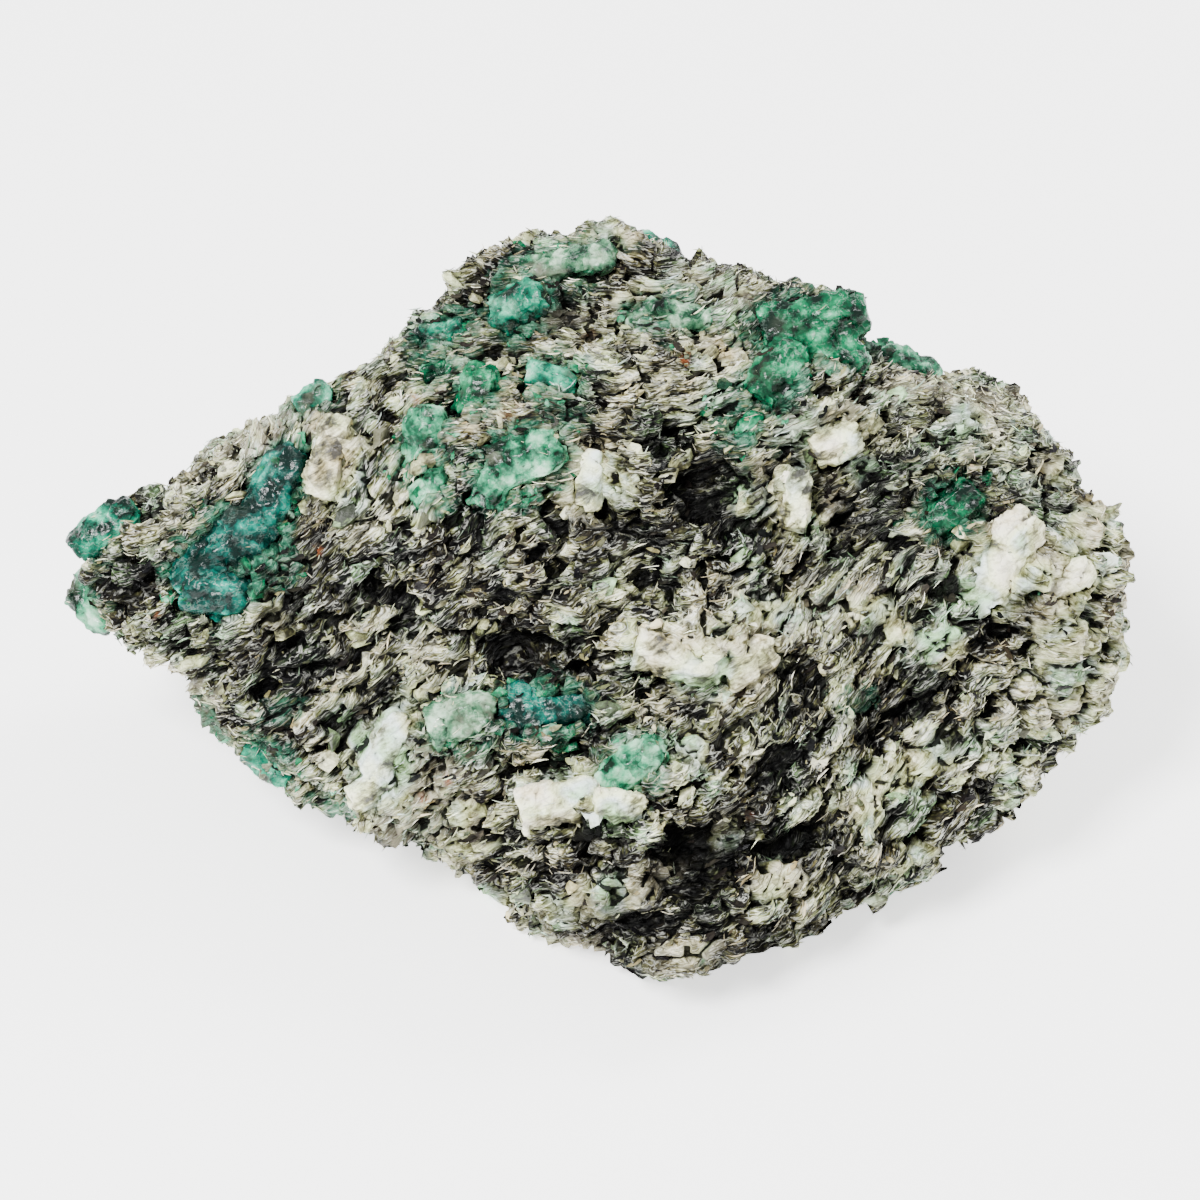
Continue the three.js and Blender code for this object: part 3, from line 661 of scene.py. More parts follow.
def remeshed(obj: bpy.types.Object, voxel: float) -> bpy.types.Object:
    """Rebuilds a closed mesh from small even faces.

    Args:
        obj: The object.
        voxel: Face size in metres.

    Returns:
        The same object.
    """
    modifier = obj.modifiers.new("even_faces", "REMESH")
    modifier.mode = "VOXEL"
    modifier.voxel_size = voxel
    return settled(obj)


class SkinMap:
    """Says what the stone's skin is made of and where shade and light are painted on it, by placed patches
    and by seeded ones behind.

    Sizes are in millimetres, and a size with three numbers runs along, along and across the layers.
    """

    HIDDEN_PATCHES = {  # how many there are behind, and their smallest and largest radius
        Kind.HOLLOW: (46, 1.4, 3.6),
        Kind.FELDSPAR: (60, 1.2, 3.4),
        Kind.BERYL: (26, 1.2, 3.0),
        Kind.SILK: (18, 2.5, 5.0),
        Kind.RUST: (14, 0.3, 0.6),
        Kind.PALE: (24, 2.0, 4.0),
        Kind.SHADE: (24, 2.0, 4.0),
    }
    TURNED_AWAY = -0.05  # skin whose normal leans less than this to the camera gets the seeded patches
    FRAY = ((1.0, 1.3), (0.6, 0.55))  # strength and size of the noises that fray a patch's rim
    EDGE = 1.25  # squared radius where a patch has faded to nothing, over its own
    FADE = 2.2  # how sharply it fades
    DEPTH_PER_PIXEL = 0.08  # how far a patch reaches in depth for each pixel of its size
    LEAST_DEPTH = 3  # how far the smallest patch reaches
    GREEN_RIM = 1.25  # size of the green stain round a beryl crystal over the crystal's own
    STAIN_RADIUS = 3.0  # of the skin round each crystal node that takes its colour
    STAIN_EDGE = 1.4  # squared radius where that has faded to nothing, over its own
    STAIN = 0.8
    WHITE_LOST = 0.7  # share of the white that green or the shade patches' painted shade takes away
    BLOCK_SIZE = np.array([1.5, 1.5, 0.8])
    SOLID_BLOCKS = (0.14, 8)  # blocks whose number is lower stay solid in a hollow, and how sharply
    LOST_BLOCKS = (0.14, 30)  # blocks whose number is lower have fallen out, and how sharply
    LOST_DARK = 0.8
    HIDDEN_SEED = 5
    SEAM_SIZE = np.array([3.6, 3.6, 1.9])
    SEAM_WIDTH = (0.09, 0.3)  # a seam's usual width over its size, and how much that varies
    THINNEST_SEAM = 0.02
    SEAM_RUN = 4.0  # how far a seam keeps its width
    SEAM_EDGE = 1.4
    SEAM_DARK = 0.7
    GAPS_IN_CRYSTAL = 0.75  # share of the gaps that a crystal closes

    def __init__(
        self,
        camera: PhotoCamera,
        skin: bpy.types.Object,
        foliation: Foliation,
        crystals: list[tuple[Kind, np.ndarray]],
    ) -> None:
        """Prepares the map.

        Args:
            camera: The photograph's camera.
            skin: The stone's even mesh, before its relief.
            foliation: The layers, whose blocks break the hollows up.
            crystals: Kind and middle in metres of each crystal node, so that its rim is stained like it.
        """
        self.camera = camera
        self.crystals = crystals
        self.tree = BVHTree.FromObject(skin, bpy.context.evaluated_depsgraph_get())
        self.points = mesh_points(skin.data)
        self.normals = mesh_normals(skin.data)
        self.ragged = Noise(21)
        self.foliation = foliation
        self.blocks = Noise(22)
        self.seams = Noise(23)
        self.seam_runs = Noise(24)

    def _shown(
        self, patch: Patch, rim: float, seen: tuple[np.ndarray, np.ndarray, np.ndarray], ragged: np.ndarray
    ) -> np.ndarray:
        """One placed patch's weight at every point.

        Args:
            patch: The patch.
            rim: Its size here over its own.
            seen: Pixel column, pixel row and depth of every point.
            ragged: Makes the patch's rim uneven.

        Returns:
            One weight from 0 to 1 per point.
        """
        column, row, depth = seen
        start, way = self.camera.ray(patch.x, patch.y)
        hit = self.tree.ray_cast(start, way)[0]
        if hit is None:
            return np.zeros(len(depth))
        turn = math.radians(patch.turn)
        right, down = column - patch.x, row - patch.y
        along = (right * math.cos(turn) - down * math.sin(turn)) / (rim * patch.across / 2)
        beside = (right * math.sin(turn) + down * math.cos(turn)) / (rim * patch.tall / 2)
        inside = np.clip(self.EDGE - (along**2 + beside**2) - ragged, 0, 1)
        reach = max(patch.across, patch.tall) * self.DEPTH_PER_PIXEL * MM + self.LEAST_DEPTH * MM
        near = np.abs(depth - (hit - start).length) < reach
        return patch.strength * np.clip(inside * self.FADE, 0, 1) * near

    def weights(self, points: np.ndarray) -> dict[Kind, np.ndarray]:
        """Works out how much of each kind the skin is at points on or near it.

        Args:
            points: The points in metres.

        Returns:
            For each kind, one weight from 0 to 1 per point.
        """
        found = {kind: np.zeros(len(points)) for kind in Kind}
        ragged = sum(strength * self.ragged.smooth(points / MM / size) for strength, size in self.FRAY)
        seen = self.camera.pixels(points)
        for kind, patches in PATCHES.items():
            rim = self.GREEN_RIM if kind is Kind.BERYL else 1.0
            for patch in patches:
                found[kind] = np.maximum(found[kind], self._shown(patch, rim, seen, ragged))
        self._add_hidden(found, points, ragged)
        for kind, middle in self.crystals:
            away = np.linalg.norm(points - middle, axis=1) / (self.STAIN_RADIUS * MM)
            stain = self.STAIN * np.clip(self.STAIN_EDGE - away**2 - ragged, 0, 1)
            found[kind] = np.maximum(found[kind], stain)
        kept = (1 - self.WHITE_LOST * found[Kind.BERYL]) * (1 - self.WHITE_LOST * found[Kind.SHADE])
        found[Kind.FELDSPAR] *= kept
        self._break_hollows(found, points)
        return found

    def _add_hidden(self, found: dict[Kind, np.ndarray], points: np.ndarray, ragged: np.ndarray) -> None:
        """Adds the seeded patches behind.

        Args:
            found: The weights so far, which it raises.
            points: The points in metres.
            ragged: Makes the patches' rims uneven.
        """
        rng = np.random.default_rng(self.HIDDEN_SEED)
        hidden = np.flatnonzero(self.normals @ self.camera.back < self.TURNED_AWAY)
        for kind, (count, low, high) in self.HIDDEN_PATCHES.items():
            for middle in self.points[rng.choice(hidden, count)]:
                away = (points - middle) / (rng.uniform(low, high) * MM)
                inside = np.clip(self.EDGE - np.einsum("ij,ij->i", away, away) - ragged, 0, 1)
                found[kind] = np.maximum(found[kind], np.clip(inside * self.FADE, 0, 1))

    def _break_hollows(self, found: dict[Kind, np.ndarray], points: np.ndarray) -> None:
        """Leaves solid blocks in the hollows, and adds fallen-out blocks and open seams elsewhere.

        Args:
            found: The weights so far, whose hollows it changes.
            points: The points in metres.
        """
        fabric = self.foliation.fabric(points / MM)
        block = self.blocks.values[self.blocks.cells(fabric / self.BLOCK_SIZE)[0]]
        broken = np.clip((block - self.SOLID_BLOCKS[0]) * self.SOLID_BLOCKS[1], 0, 1)
        # fallen-out blocks and open seams join the hollows and take their painted shade
        gaps = np.clip((self.LOST_BLOCKS[0] - block) * self.LOST_BLOCKS[1], 0, 1) * self.LOST_DARK
        crystal = np.maximum(found[Kind.BERYL], found[Kind.FELDSPAR])
        usual, varied = self.SEAM_WIDTH
        width = usual + varied * self.seam_runs.smooth(points / MM / self.SEAM_RUN)
        width = np.maximum(width, self.THINNEST_SEAM)
        seams = np.clip(self.SEAM_EDGE - self.seams.cells(fabric / self.SEAM_SIZE)[2] / width, 0, 1)
        gaps = np.maximum(gaps, self.SEAM_DARK * seams) * (1 - self.GAPS_IN_CRYSTAL * crystal)
        found[Kind.HOLLOW] = np.maximum(found[Kind.HOLLOW] * broken * (1 - crystal), gaps)


@dataclass
class Skin:
    """What the finishes and the strewn pieces read from a mesh: kinds, layers, hollows and where to strew.

    Sizes are in millimetres. A swing is how strongly a pattern varies. A lift is what a kind of skin adds to
    its paleness, and a drop what it takes away.
    """

    HOLLOW_ROUNDS = (3, 14)  # smoothing rounds that near and wide hollows are measured against
    TRACE_LEAN = 0.05 * np.array([1.0, 0.2, 0.3])  # keeps a trace where the skin lies along a layer

    foliation: Foliation
    cavity_gain: float = 2.6  # painted shade: darkness for each millimetre that a point lies under its near surroundings
    shelter_base: float = 0.3
    shelter_gain: float = 0.9
    hollow_gain: float = 5.0
    lie_shares: tuple[float, float] = (0.8, 0.35)
    patch_size: float = 2.7
    patch_swing: float = 1.3
    band_size: Size = (5.0, 5.0, 1.1)
    band_swing: float = 1.2
    # the pale lift is partly painted light, the hollow drop painted shade and the shade drop partly painted
    # shade
    silk_lift: float = 0.3
    pale_lift: float = 0.55
    hollow_drop: float = 0.75
    shade_drop: float = 0.65
    hue_size: float = 3.2
    hue_swing: float = 1.5
    tone_size: float = 1.6
    tone_swing: float = 0.8
    bare_below: float = 0.7  # height under which nothing is strewn
    bare_cavity: float = 0.7  # how deep a crevice stays bare

    def keep(self, mesh: bpy.types.Mesh, weights: dict[Kind, np.ndarray], crust: float = 1.0) -> None:
        """Stores the skin's numbers on a mesh that already has its relief.

        Args:
            mesh: The mesh.
            weights: What its skin is made of.
            crust: How much of the usual small pieces it carries.
        """
        points = mesh_points(mesh) / MM
        normals = mesh_normals(mesh)
        near, wide = self._hollows(mesh, points, normals)
        # cavity and shelter give the finishes their painted shade in near and wide hollows
        cavity = np.clip(0.5 + near * self.cavity_gain, 0, 1)
        shelter = np.clip(self.shelter_base + wide * self.shelter_gain, 0, 1)
        # a hollow patch keeps its painted shade only where the skin lies sheltered
        weights[Kind.HOLLOW] *= np.clip(shelter * self.hollow_gain, 0, 1)
        numbers = {kind.value: values for kind, values in weights.items()}
        numbers |= {"cavity": cavity, "shelter": shelter}
        numbers["lie"], numbers["trace"] = self._lie(points, normals)
        fabric = self.foliation.fabric(points)
        region = self._region(points, fabric, weights)
        numbers["region"] = region
        numbers["hue"] = np.clip(0.5 + self.hue_swing * Noise(43).smooth(points / self.hue_size), 0, 1)
        numbers["fabric"] = fabric
        numbers["tone"] = np.clip(0.5 + self.tone_swing * Noise(44).smooth(points / self.tone_size), 0, 1)
        open_skin = (points[:, 2] > self.bare_below) * (cavity < self.bare_cavity) * crust
        numbers |= self._strewing(open_skin, region, weights)
        for name, values in numbers.items():
            store(mesh, name, values)

    def _region(
        self, points: np.ndarray, fabric: np.ndarray, weights: dict[Kind, np.ndarray]
    ) -> np.ndarray:
        """How pale the skin is from place to place.

        Args:
            points: The skin in millimetres.
            fabric: The same points along and across the layers.
            weights: What it is made of.

        Returns:
            One number per point, from 0 where dark mica and painted shade rule to 1 where quartz, silver mica
            and painted light do.
        """
        bands = Noise(42).smooth(fabric / np.array(self.band_size))
        patches = Noise(41).smooth(points / self.patch_size)
        region = np.clip(0.5 + self.patch_swing * patches + self.band_swing * bands, 0, 1)
        lifted = region + (self.silk_lift * weights[Kind.SILK] + self.pale_lift * weights[Kind.PALE])
        # pale patches add painted light, and hollow and shade patches painted shade
        dropped = lifted - self.hollow_drop * weights[Kind.HOLLOW] - self.shade_drop * weights[Kind.SHADE]
        return np.clip(dropped, 0, 1)

    def _lie(self, points: np.ndarray, normals: np.ndarray) -> tuple[np.ndarray, np.ndarray]:
        """How a loose piece lies: nearly flat on its layer, drawn out along the layer's trace on the skin.

        Args:
            points: The skin in millimetres.
            normals: Its normals.

        Returns:
            The piece's upward way and its long way, one each per point.
        """
        layers = self.foliation.normal(points)
        trace = np.cross(normals, layers) + self.TRACE_LEAN
        layers *= np.where(np.einsum("ij,ij->i", layers, normals) < 0, -1, 1)[:, None]
        lie = self.lie_shares[0] * layers + self.lie_shares[1] * normals
        return lie / np.linalg.norm(lie, axis=1)[:, None], trace / np.linalg.norm(trace, axis=1)[:, None]

    def _strewing(
        self, open_skin: np.ndarray, region: np.ndarray, weights: dict[Kind, np.ndarray]
    ) -> dict[str, np.ndarray]:
        """How thickly each kind of small piece lies, against the most it can.

        Args:
            open_skin: How much of the small pieces the skin carries.
            region: How pale it is.
            weights: What it is made of.

        Returns:
            For each name that a Scatter's where gives, one share from 0 to 1 per point.
        """
        plain = open_skin * (1 - 0.6 * np.maximum(weights[Kind.FELDSPAR], weights[Kind.BERYL]))
        silk = weights[Kind.SILK]
        hollow = weights[Kind.HOLLOW]
        # fewer bright pieces under the shade patches' painted shade
        lit = 1 - 0.6 * weights[Kind.SHADE]
        return {
            "dark_flakes": plain * np.clip(1.2 - region + hollow, 0.1, 1),
            "silver_flakes": plain * np.clip(0.15 + region, 0, 1) * (1 - 0.95 * hollow) * lit,
            "cream_flakes": plain * (0.3 + 0.9 * silk) * (1 - 0.9 * hollow),
            "hairs": plain * (0.35 + 0.65 * region) * (1 - 0.9 * hollow) * lit,
            "rubble": plain * np.clip(0.2 + 0.9 * region, 0, 1) * (1 - 0.9 * hollow) * (1 - 0.7 * silk),
            "feldspar_grains": open_skin * weights[Kind.FELDSPAR] * (1 - hollow),
            "beryl_grains": open_skin * weights[Kind.BERYL],
        }

    def _hollows(
        self, mesh: bpy.types.Mesh, points: np.ndarray, normals: np.ndarray
    ) -> tuple[np.ndarray, np.ndarray]:
        """Depth of each point under its surroundings, near by and further out.

        Args:
            mesh: The mesh.
            points: Its vertices in millimetres.
            normals: Its normals.

        Returns:
            Two depths in millimetres per vertex.
        """
        edges = np.empty(len(mesh.edges) * 2, dtype=np.int64)
        mesh.edges.foreach_get("vertices", edges)
        first, second = edges.reshape(-1, 2).T
        source = np.concatenate([second, first])
        target = np.concatenate([first, second])
        count = 1.0 + np.bincount(target, minlength=len(points))
        average = points.copy()
        depths = []
        for rounds in self.HOLLOW_ROUNDS:
            for _ in range(rounds):
                summed = [np.bincount(target, average[source, axis], len(points)) for axis in range(3)]
                average = (average + np.stack(summed, axis=1)) / count[:, None]
            depths.append(np.einsum("ij,ij->i", average - points, normals))
        return depths[0], depths[1]


@dataclass
class SchistBody:
    """The stone itself: CAD's solid on a fine mesh, with its layers, blocks and grains cut in relief.

    Sizes are in millimetres, a block's, a lump's and a chip's as length along the layers and thickness across
    them. A tilt is how strongly a facet leans, as a slope. The layers' wave and the ledges' wander are a
    strength and a size, and a ledge's run is how long it stays one piece along X and along Y.
    """

    LEDGE_HASH = (127.1, 311.7, 43758.5453)  # make a repeatable chance of a layer's and a run's number

    voxel: float = 0.3
    kept_faces: int = 186000
    layer: float = 1.5
    layer_depth: float = 0.85
    layer_wave: tuple[float, float] = (0.5, 5.0)
    ledge_run: tuple[float, float] = (6.0, 8.0)
    ledge_wander: tuple[float, float] = (0.8, 4.0)
    ledge_slope: float = 3.0
    block: tuple[float, float] = (2.4, 1.0)
    block_tilt: float = 0.55
    block_depth: float = 0.75
    lump: tuple[float, float] = (1.9, 0.95)
    lump_depth: float = 0.45
    chip: tuple[float, float] = (0.8, 0.3)
    chip_tilt: float = 0.6
    chip_depth: float = 0.2
    crumb: float = 2.3
    crumb_depth: float = 0.75
    facet: float = 0.9
    facet_tilt: float = 0.6
    facet_depth: float = 0.35
    hollow_depth: float = 1.8
    crystal_rise: float = 0.3
    fullness: float = 0.5
    relief_limits: tuple[float, float] = (-3.5, 1.6)  # lowest and highest
    lump_swing: float = 0.6
    crease_drop: float = 0.8
    crease_fineness: float = 7.0
    flat_foot: tuple[float, float] = (0.1, 0.8)  # height where the relief starts, and what it grows over
    foot_relief: float = 0.15  # share of the relief that the resting flat keeps

    def build(self, body: bpy.types.Object, chart: SkinMap, skin: Skin) -> None:
        """Cuts the relief and stores what the finishes read.

        Args:
            body: The stone's even mesh.
            chart: Says what its skin is made of.
            skin: Keeps the numbers on the mesh.
        """
        points = chart.points / MM
        relief = self._relief(points, chart.normals, skin.foliation, chart.weights(chart.points))
        start, over = self.flat_foot
        relief *= np.clip((points[:, 2] - start) / over, self.foot_relief, 1)
        moved = points + chart.normals * relief[:, None]
        move_points(body.data, moved * MM)
        modifier = body.modifiers.new("fewer_faces", "DECIMATE")
        modifier.ratio = min(1.0, self.kept_faces / (2 * len(body.data.polygons)))
        settled(body)
        body.data.shade_smooth()
        skin.keep(body.data, chart.weights(mesh_points(body.data)))

    def _relief(
        self, points: np.ndarray, normals: np.ndarray, foliation: Foliation, weights: dict[Kind, np.ndarray]
    ) -> np.ndarray:
        """Heights of the relief in millimetres.

        Args:
            points: The skin in millimetres.
            normals: The skin's normals.
            foliation: The layers.
            weights: What the skin is made of.

        Returns:
            One height per vertex.
        """
        fabric = foliation.fabric(points)
        cut_across = 1 - np.einsum("ij,ij->i", normals, foliation.normal(points)) ** 2
        schist = (
            self.layer_depth * cut_across * self._ledges(points, fabric)
            + self.block_depth * Noise(31).facets(self._along(fabric, self.block), self.block_tilt)
            + self.lump_depth * self._lumps(Noise(33), self._along(fabric, self.lump))
            + self.chip_depth * Noise(32).facets(self._along(fabric, self.chip), self.chip_tilt)
        )
        crystal = (
            self.crumb_depth * self._lumps(Noise(34), points / self.crumb)
            + self.facet_depth * Noise(37).facets(points / self.facet, self.facet_tilt)
            + self.crystal_rise
        )
        soft = np.maximum(weights[Kind.FELDSPAR], weights[Kind.BERYL])
        hollow = self.hollow_depth * weights[Kind.HOLLOW]
        return np.clip(self.fullness + schist * (1 - soft) + crystal * soft - hollow, *self.relief_limits)

    def _along(self, fabric: np.ndarray, size: tuple[float, float]) -> np.ndarray:
        """The layers' coordinates over a size along and across them."""
        return fabric / np.array([size[0], size[0], size[1]])

    def _ledges(self, points: np.ndarray, fabric: np.ndarray) -> np.ndarray:
        """How far each layer's broken edge stands out or back.

        Args:
            points: The skin in millimetres.
            fabric: The same points along and across the layers.

        Returns:
            One number from -0.5 to 0.5 per point.
        """
        wave, wave_size = self.layer_wave
        level = fabric[:, 2] / self.layer + wave * Noise(35).smooth(points / wave_size)
        sheet = np.floor(level)
        wander, wander_size = self.ledge_wander
        place = points[:, 0] / self.ledge_run[0] + points[:, 1] / self.ledge_run[1]
        run = np.floor(place + wander * Noise(36).smooth(points / wander_size))
        chance = np.sin(sheet * self.LEDGE_HASH[0] + run * self.LEDGE_HASH[1]) * self.LEDGE_HASH[2]
        return (chance - np.floor(chance) - 0.5) * np.clip((1 - (level - sheet)) * self.ledge_slope, 0, 1)

    def _lumps(self, noise: Noise, points: np.ndarray) -> np.ndarray:
        """Rounded lumps with creases between them.

        Args:
            noise: Fixes their places.
            points: Points, already divided by the lump size.

        Returns:
            Heights from about -1 in a crease to 0.3 on a lump.
        """
        number, _, gap = noise.cells(points)
        crease = np.exp(-gap * self.crease_fineness)
        return self.lump_swing * (noise.values[number] - 0.5) - self.crease_drop * crease


class Shape(Enum):
    """The form of a small repeated piece."""

    FLAKE = "flake"
    GRAIN = "grain"


@dataclass
class Scatter:
    """Small pieces strewn over the stone's skin by a geometry node tree.

    where names the attribute that says how thickly, per_square_mm is the most, size the shortest and longest
    length in millimetres, and width a piece's width over its length. spread is how far it tips from its layer
    and yaw how far it turns from the layer's trace, in radians. sink is how deep its middle lies under the
    skin, over its length. Constants that are lengths are in piece lengths.
    """

    FLAKE_SIDES = (5, 8)  # fewest sides, and one more than the most
    FLAKE_UNEVEN = 0.3  # how far a corner wanders, over the way between corners
    FLAKE_REACH = (0.36, 0.55)
    FLAKE_CURL = (-0.3, 0.35)
    FLAKE_ROUGH = 0.03
    FLAKE_THICK = 0.03
    GRAIN_CORNERS = 13
    GRAIN_REACH = (0.42, 0.56)
    GRAIN_HEIGHT = 0.75  # over its width

    name: str
    shape: Shape
    where: str
    per_square_mm: float
    size: tuple[float, float]
    width: tuple[float, float]
    spread: float
    yaw: float
    seed: int
    sink: float = 0.0
    variants: int = 7

    def _flake(self, rng: np.random.Generator) -> bpy.types.Mesh:
        """Makes one thin irregular plate, one unit long and slightly curled.

        Args:
            rng: Gives its form.

        Returns:
            The plate.
        """
        sides = int(rng.integers(*self.FLAKE_SIDES))
        wander = rng.uniform(-self.FLAKE_UNEVEN, self.FLAKE_UNEVEN, sides)
        turns = np.sort((np.arange(sides) + wander) / sides * 2 * math.pi)
        reach = rng.uniform(*self.FLAKE_REACH, sides)
        width = rng.uniform(*self.width)
        curl = rng.uniform(*self.FLAKE_CURL)
        rim = []
        for turn, far in zip(turns, reach):
            along = far * math.cos(turn)
            lift = curl * along**2 * 2 + rng.uniform(-self.FLAKE_ROUGH, self.FLAKE_ROUGH)
            rim.append((along, width * far * math.sin(turn), lift))
        points = [*rim, (0, 0, self.FLAKE_THICK), (0, 0, -self.FLAKE_THICK)]
        faces = []
        for i in range(sides):
            after = (i + 1) % sides
            faces.append((i, after, sides))
            faces.append((after, i, sides + 1))
        mesh = bpy.data.meshes.new("flake")
        mesh.from_pydata(points, [], faces)
        return mesh

    def _grain(self, rng: np.random.Generator) -> bpy.types.Mesh:
        """Makes one angular grain about one unit long.

        Args:
            rng: Gives its form.

        Returns:
            The grain.
        """
        work = bmesh.new()
        points = rng.normal(size=(self.GRAIN_CORNERS, 3))
        points /= np.linalg.norm(points, axis=1)[:, None]
        width = rng.uniform(*self.width)
        reach = rng.uniform(*self.GRAIN_REACH, (self.GRAIN_CORNERS, 1))
        points *= reach * np.array([1.0, width, self.GRAIN_HEIGHT * width])
        for point in points:
            work.verts.new(point)
        hull = bmesh.ops.convex_hull(work, input=work.verts)
        left_over = hull["geom_interior"] + hull["geom_unused"]
        inside = {item for item in left_over if isinstance(item, bmesh.types.BMVert)}
        bmesh.ops.delete(work, geom=list(inside), context="VERTS")
        mesh = bpy.data.meshes.new("grain")
        work.to_mesh(mesh)
        work.free()
        return mesh

    def _library(self) -> bpy.types.Collection:
        """Makes the piece's variants in a collection that no scene shows.

        Returns:
            The collection.
        """
        rng = np.random.default_rng(self.seed)
        library = bpy.data.collections.new(f"{self.name}_shapes")
        for number in range(self.variants):
            mesh = self._flake(rng) if self.shape is Shape.FLAKE else self._grain(rng)
            library.objects.link(bpy.data.objects.new(f"{self.name}_{number}", mesh))
        return library

    def _tree(self, library: bpy.types.Collection, material: bpy.types.Material) -> bpy.types.NodeTree:
        """Builds the tree that strews the pieces.

        Args:
            library: The variants.
            material: The finish of them all.

        Returns:
            The geometry node tree.
        """
        tree = bpy.data.node_groups.new(f"{self.name}_tree", "GeometryNodeTree")
        face = tree.interface
        face.new_socket(name="Geometry", in_out="INPUT", socket_type="NodeSocketGeometry")
        for label in ("Pieces per square metre", "Smallest", "Largest", "Tip", "Yaw", "Sink"):
            face.new_socket(name=label, in_out="INPUT", socket_type="NodeSocketFloat")
        face.new_socket(name="Geometry", in_out="OUTPUT", socket_type="NodeSocketGeometry")
        given = add_node(tree, "NodeGroupInput").outputs
        share = add_node(tree, "GeometryNodeInputNamedAttribute", {"Name": self.where}, data_type="FLOAT")
        most = given["Pieces per square metre"]
        density = add_node(tree, "ShaderNodeMath", {0: share.outputs[0], 1: most}, operation="MULTIPLY")
        strewn = add_node(
            tree,
            "GeometryNodeDistributePointsOnFaces",
            {"Mesh": given["Geometry"], "Density": density.outputs[0], "Seed": self.seed},
        )
        lie = add_node(tree, "GeometryNodeInputNamedAttribute", {"Name": "lie"}, data_type="FLOAT_VECTOR")
        trace = add_node(tree, "GeometryNodeInputNamedAttribute", {"Name": "trace"}, data_type="FLOAT_VECTOR")
        laid = add_node(tree, "FunctionNodeAlignRotationToVector", {"Vector": lie.outputs[0]}, axis="Z")
        run = add_node(
            tree,
            "FunctionNodeAlignRotationToVector",
            {"Rotation": laid.outputs[0], "Vector": trace.outputs[0]},
            axis="X",
            pivot_axis="Z",
        )
        tip, yaw = given["Tip"], given["Yaw"]
        tip_low = add_node(tree, "ShaderNodeMath", {0: tip, 1: -1.0}, operation="MULTIPLY")
        yaw_low = add_node(tree, "ShaderNodeMath", {0: yaw, 1: -1.0}, operation="MULTIPLY")
        low = add_node(
            tree,
            "ShaderNodeCombineXYZ",
            {0: tip_low.outputs[0], 1: tip_low.outputs[0], 2: yaw_low.outputs[0]},
        )
        high = add_node(tree, "ShaderNodeCombineXYZ", {0: tip, 1: tip, 2: yaw})
        turn = add_node(
            tree,
            "FunctionNodeRandomValue",
            {"Min": low.outputs[0], "Max": high.outputs[0], "Seed": self.seed + 1},
            data_type="FLOAT_VECTOR",
        )
        turn_by = add_node(tree, "FunctionNodeEulerToRotation", {0: turn.outputs[0]})
        turned = add_node(
            tree,
            "FunctionNodeRotateRotation",
            {0: run.outputs[0], 1: turn_by.outputs[0]},
            rotation_space="LOCAL",
        )
        size = add_node(
            tree,
            "FunctionNodeRandomValue",
            {2: given["Smallest"], 3: given["Largest"], "Seed": self.seed + 2},
            data_type="FLOAT",
        )
        depth = add_node(
            tree,
            "ShaderNodeMath",
            {0: size.outputs[1], 1: given["Sink"]},
            operation="MULTIPLY",
        )
        down = add_node(tree, "ShaderNodeMath", {0: depth.outputs[0], 1: -1.0}, operation="MULTIPLY")
        offset = add_node(
            tree,
            "ShaderNodeVectorMath",
            {0: strewn.outputs["Normal"], "Scale": down.outputs[0]},
            operation="SCALE",
        )
        sunk = add_node(
            tree,
            "GeometryNodeSetPosition",
            {0: strewn.outputs["Points"], "Offset": offset.outputs[0]},
        )
        shapes = add_node(
            tree,
            "GeometryNodeCollectionInfo",
            {"Collection": library, "Separate Children": True, "Reset Children": True},
        )
        placed = add_node(
            tree,
            "GeometryNodeInstanceOnPoints",
            {
                "Points": sunk.outputs[0],
                "Instance": shapes.outputs[0],
                "Pick Instance": True,
                "Rotation": turned.outputs[0],
                "Scale": size.outputs[1],
            },
        )
        tone = add_node(tree, "FunctionNodeRandomValue", {"Seed": self.seed + 3}, data_type="FLOAT")
        toned = add_node(
            tree,
            "GeometryNodeStoreNamedAttribute",
            {"Geometry": placed.outputs[0], "Name": "tone", "Value": tone.outputs[1]},
            data_type="FLOAT",
            domain="INSTANCE",
        )
        real = add_node(tree, "GeometryNodeRealizeInstances", {0: toned.outputs[0]})
        finished = add_node(
            tree,
            "GeometryNodeSetMaterial",
            {"Geometry": real.outputs[0], "Material": material},
        )
        add_node(tree, "NodeGroupOutput", {0: finished.outputs[0]})
        return tree

    def build(self, body: bpy.types.Object, material: bpy.types.Material) -> bpy.types.Object:
        """Strews the pieces and joins them in one plain mesh.

        Args:
            body: The skin that they lie on.
            material: The pieces' finish.

        Returns:
            The new object.
        """
        library = self._library()
        tree = self._tree(library, material)
        piece = bpy.data.objects.new(self.name, body.data.copy())
        bpy.context.scene.collection.objects.link(piece)
        modifier = piece.modifiers.new("strew", "NODES")
        modifier.node_group = tree
        values = {
            "Pieces per square metre": self.per_square_mm / MM**2,
            "Smallest": self.size[0] * MM,
            "Largest": self.size[1] * MM,
            "Tip": self.spread,
            "Yaw": self.yaw,
            "Sink": self.sink,
        }
        for socket in tree.interface.items_tree:
            if socket.name in values:
                modifier[socket.identifier] = values[socket.name]
        settled(piece)
        for shape in list(library.objects):
            bpy.data.objects.remove(shape)
        bpy.data.collections.remove(library)
        bpy.data.node_groups.remove(tree)
        log.info("%s: %d triangles", self.name, triangles(piece))
        return piece


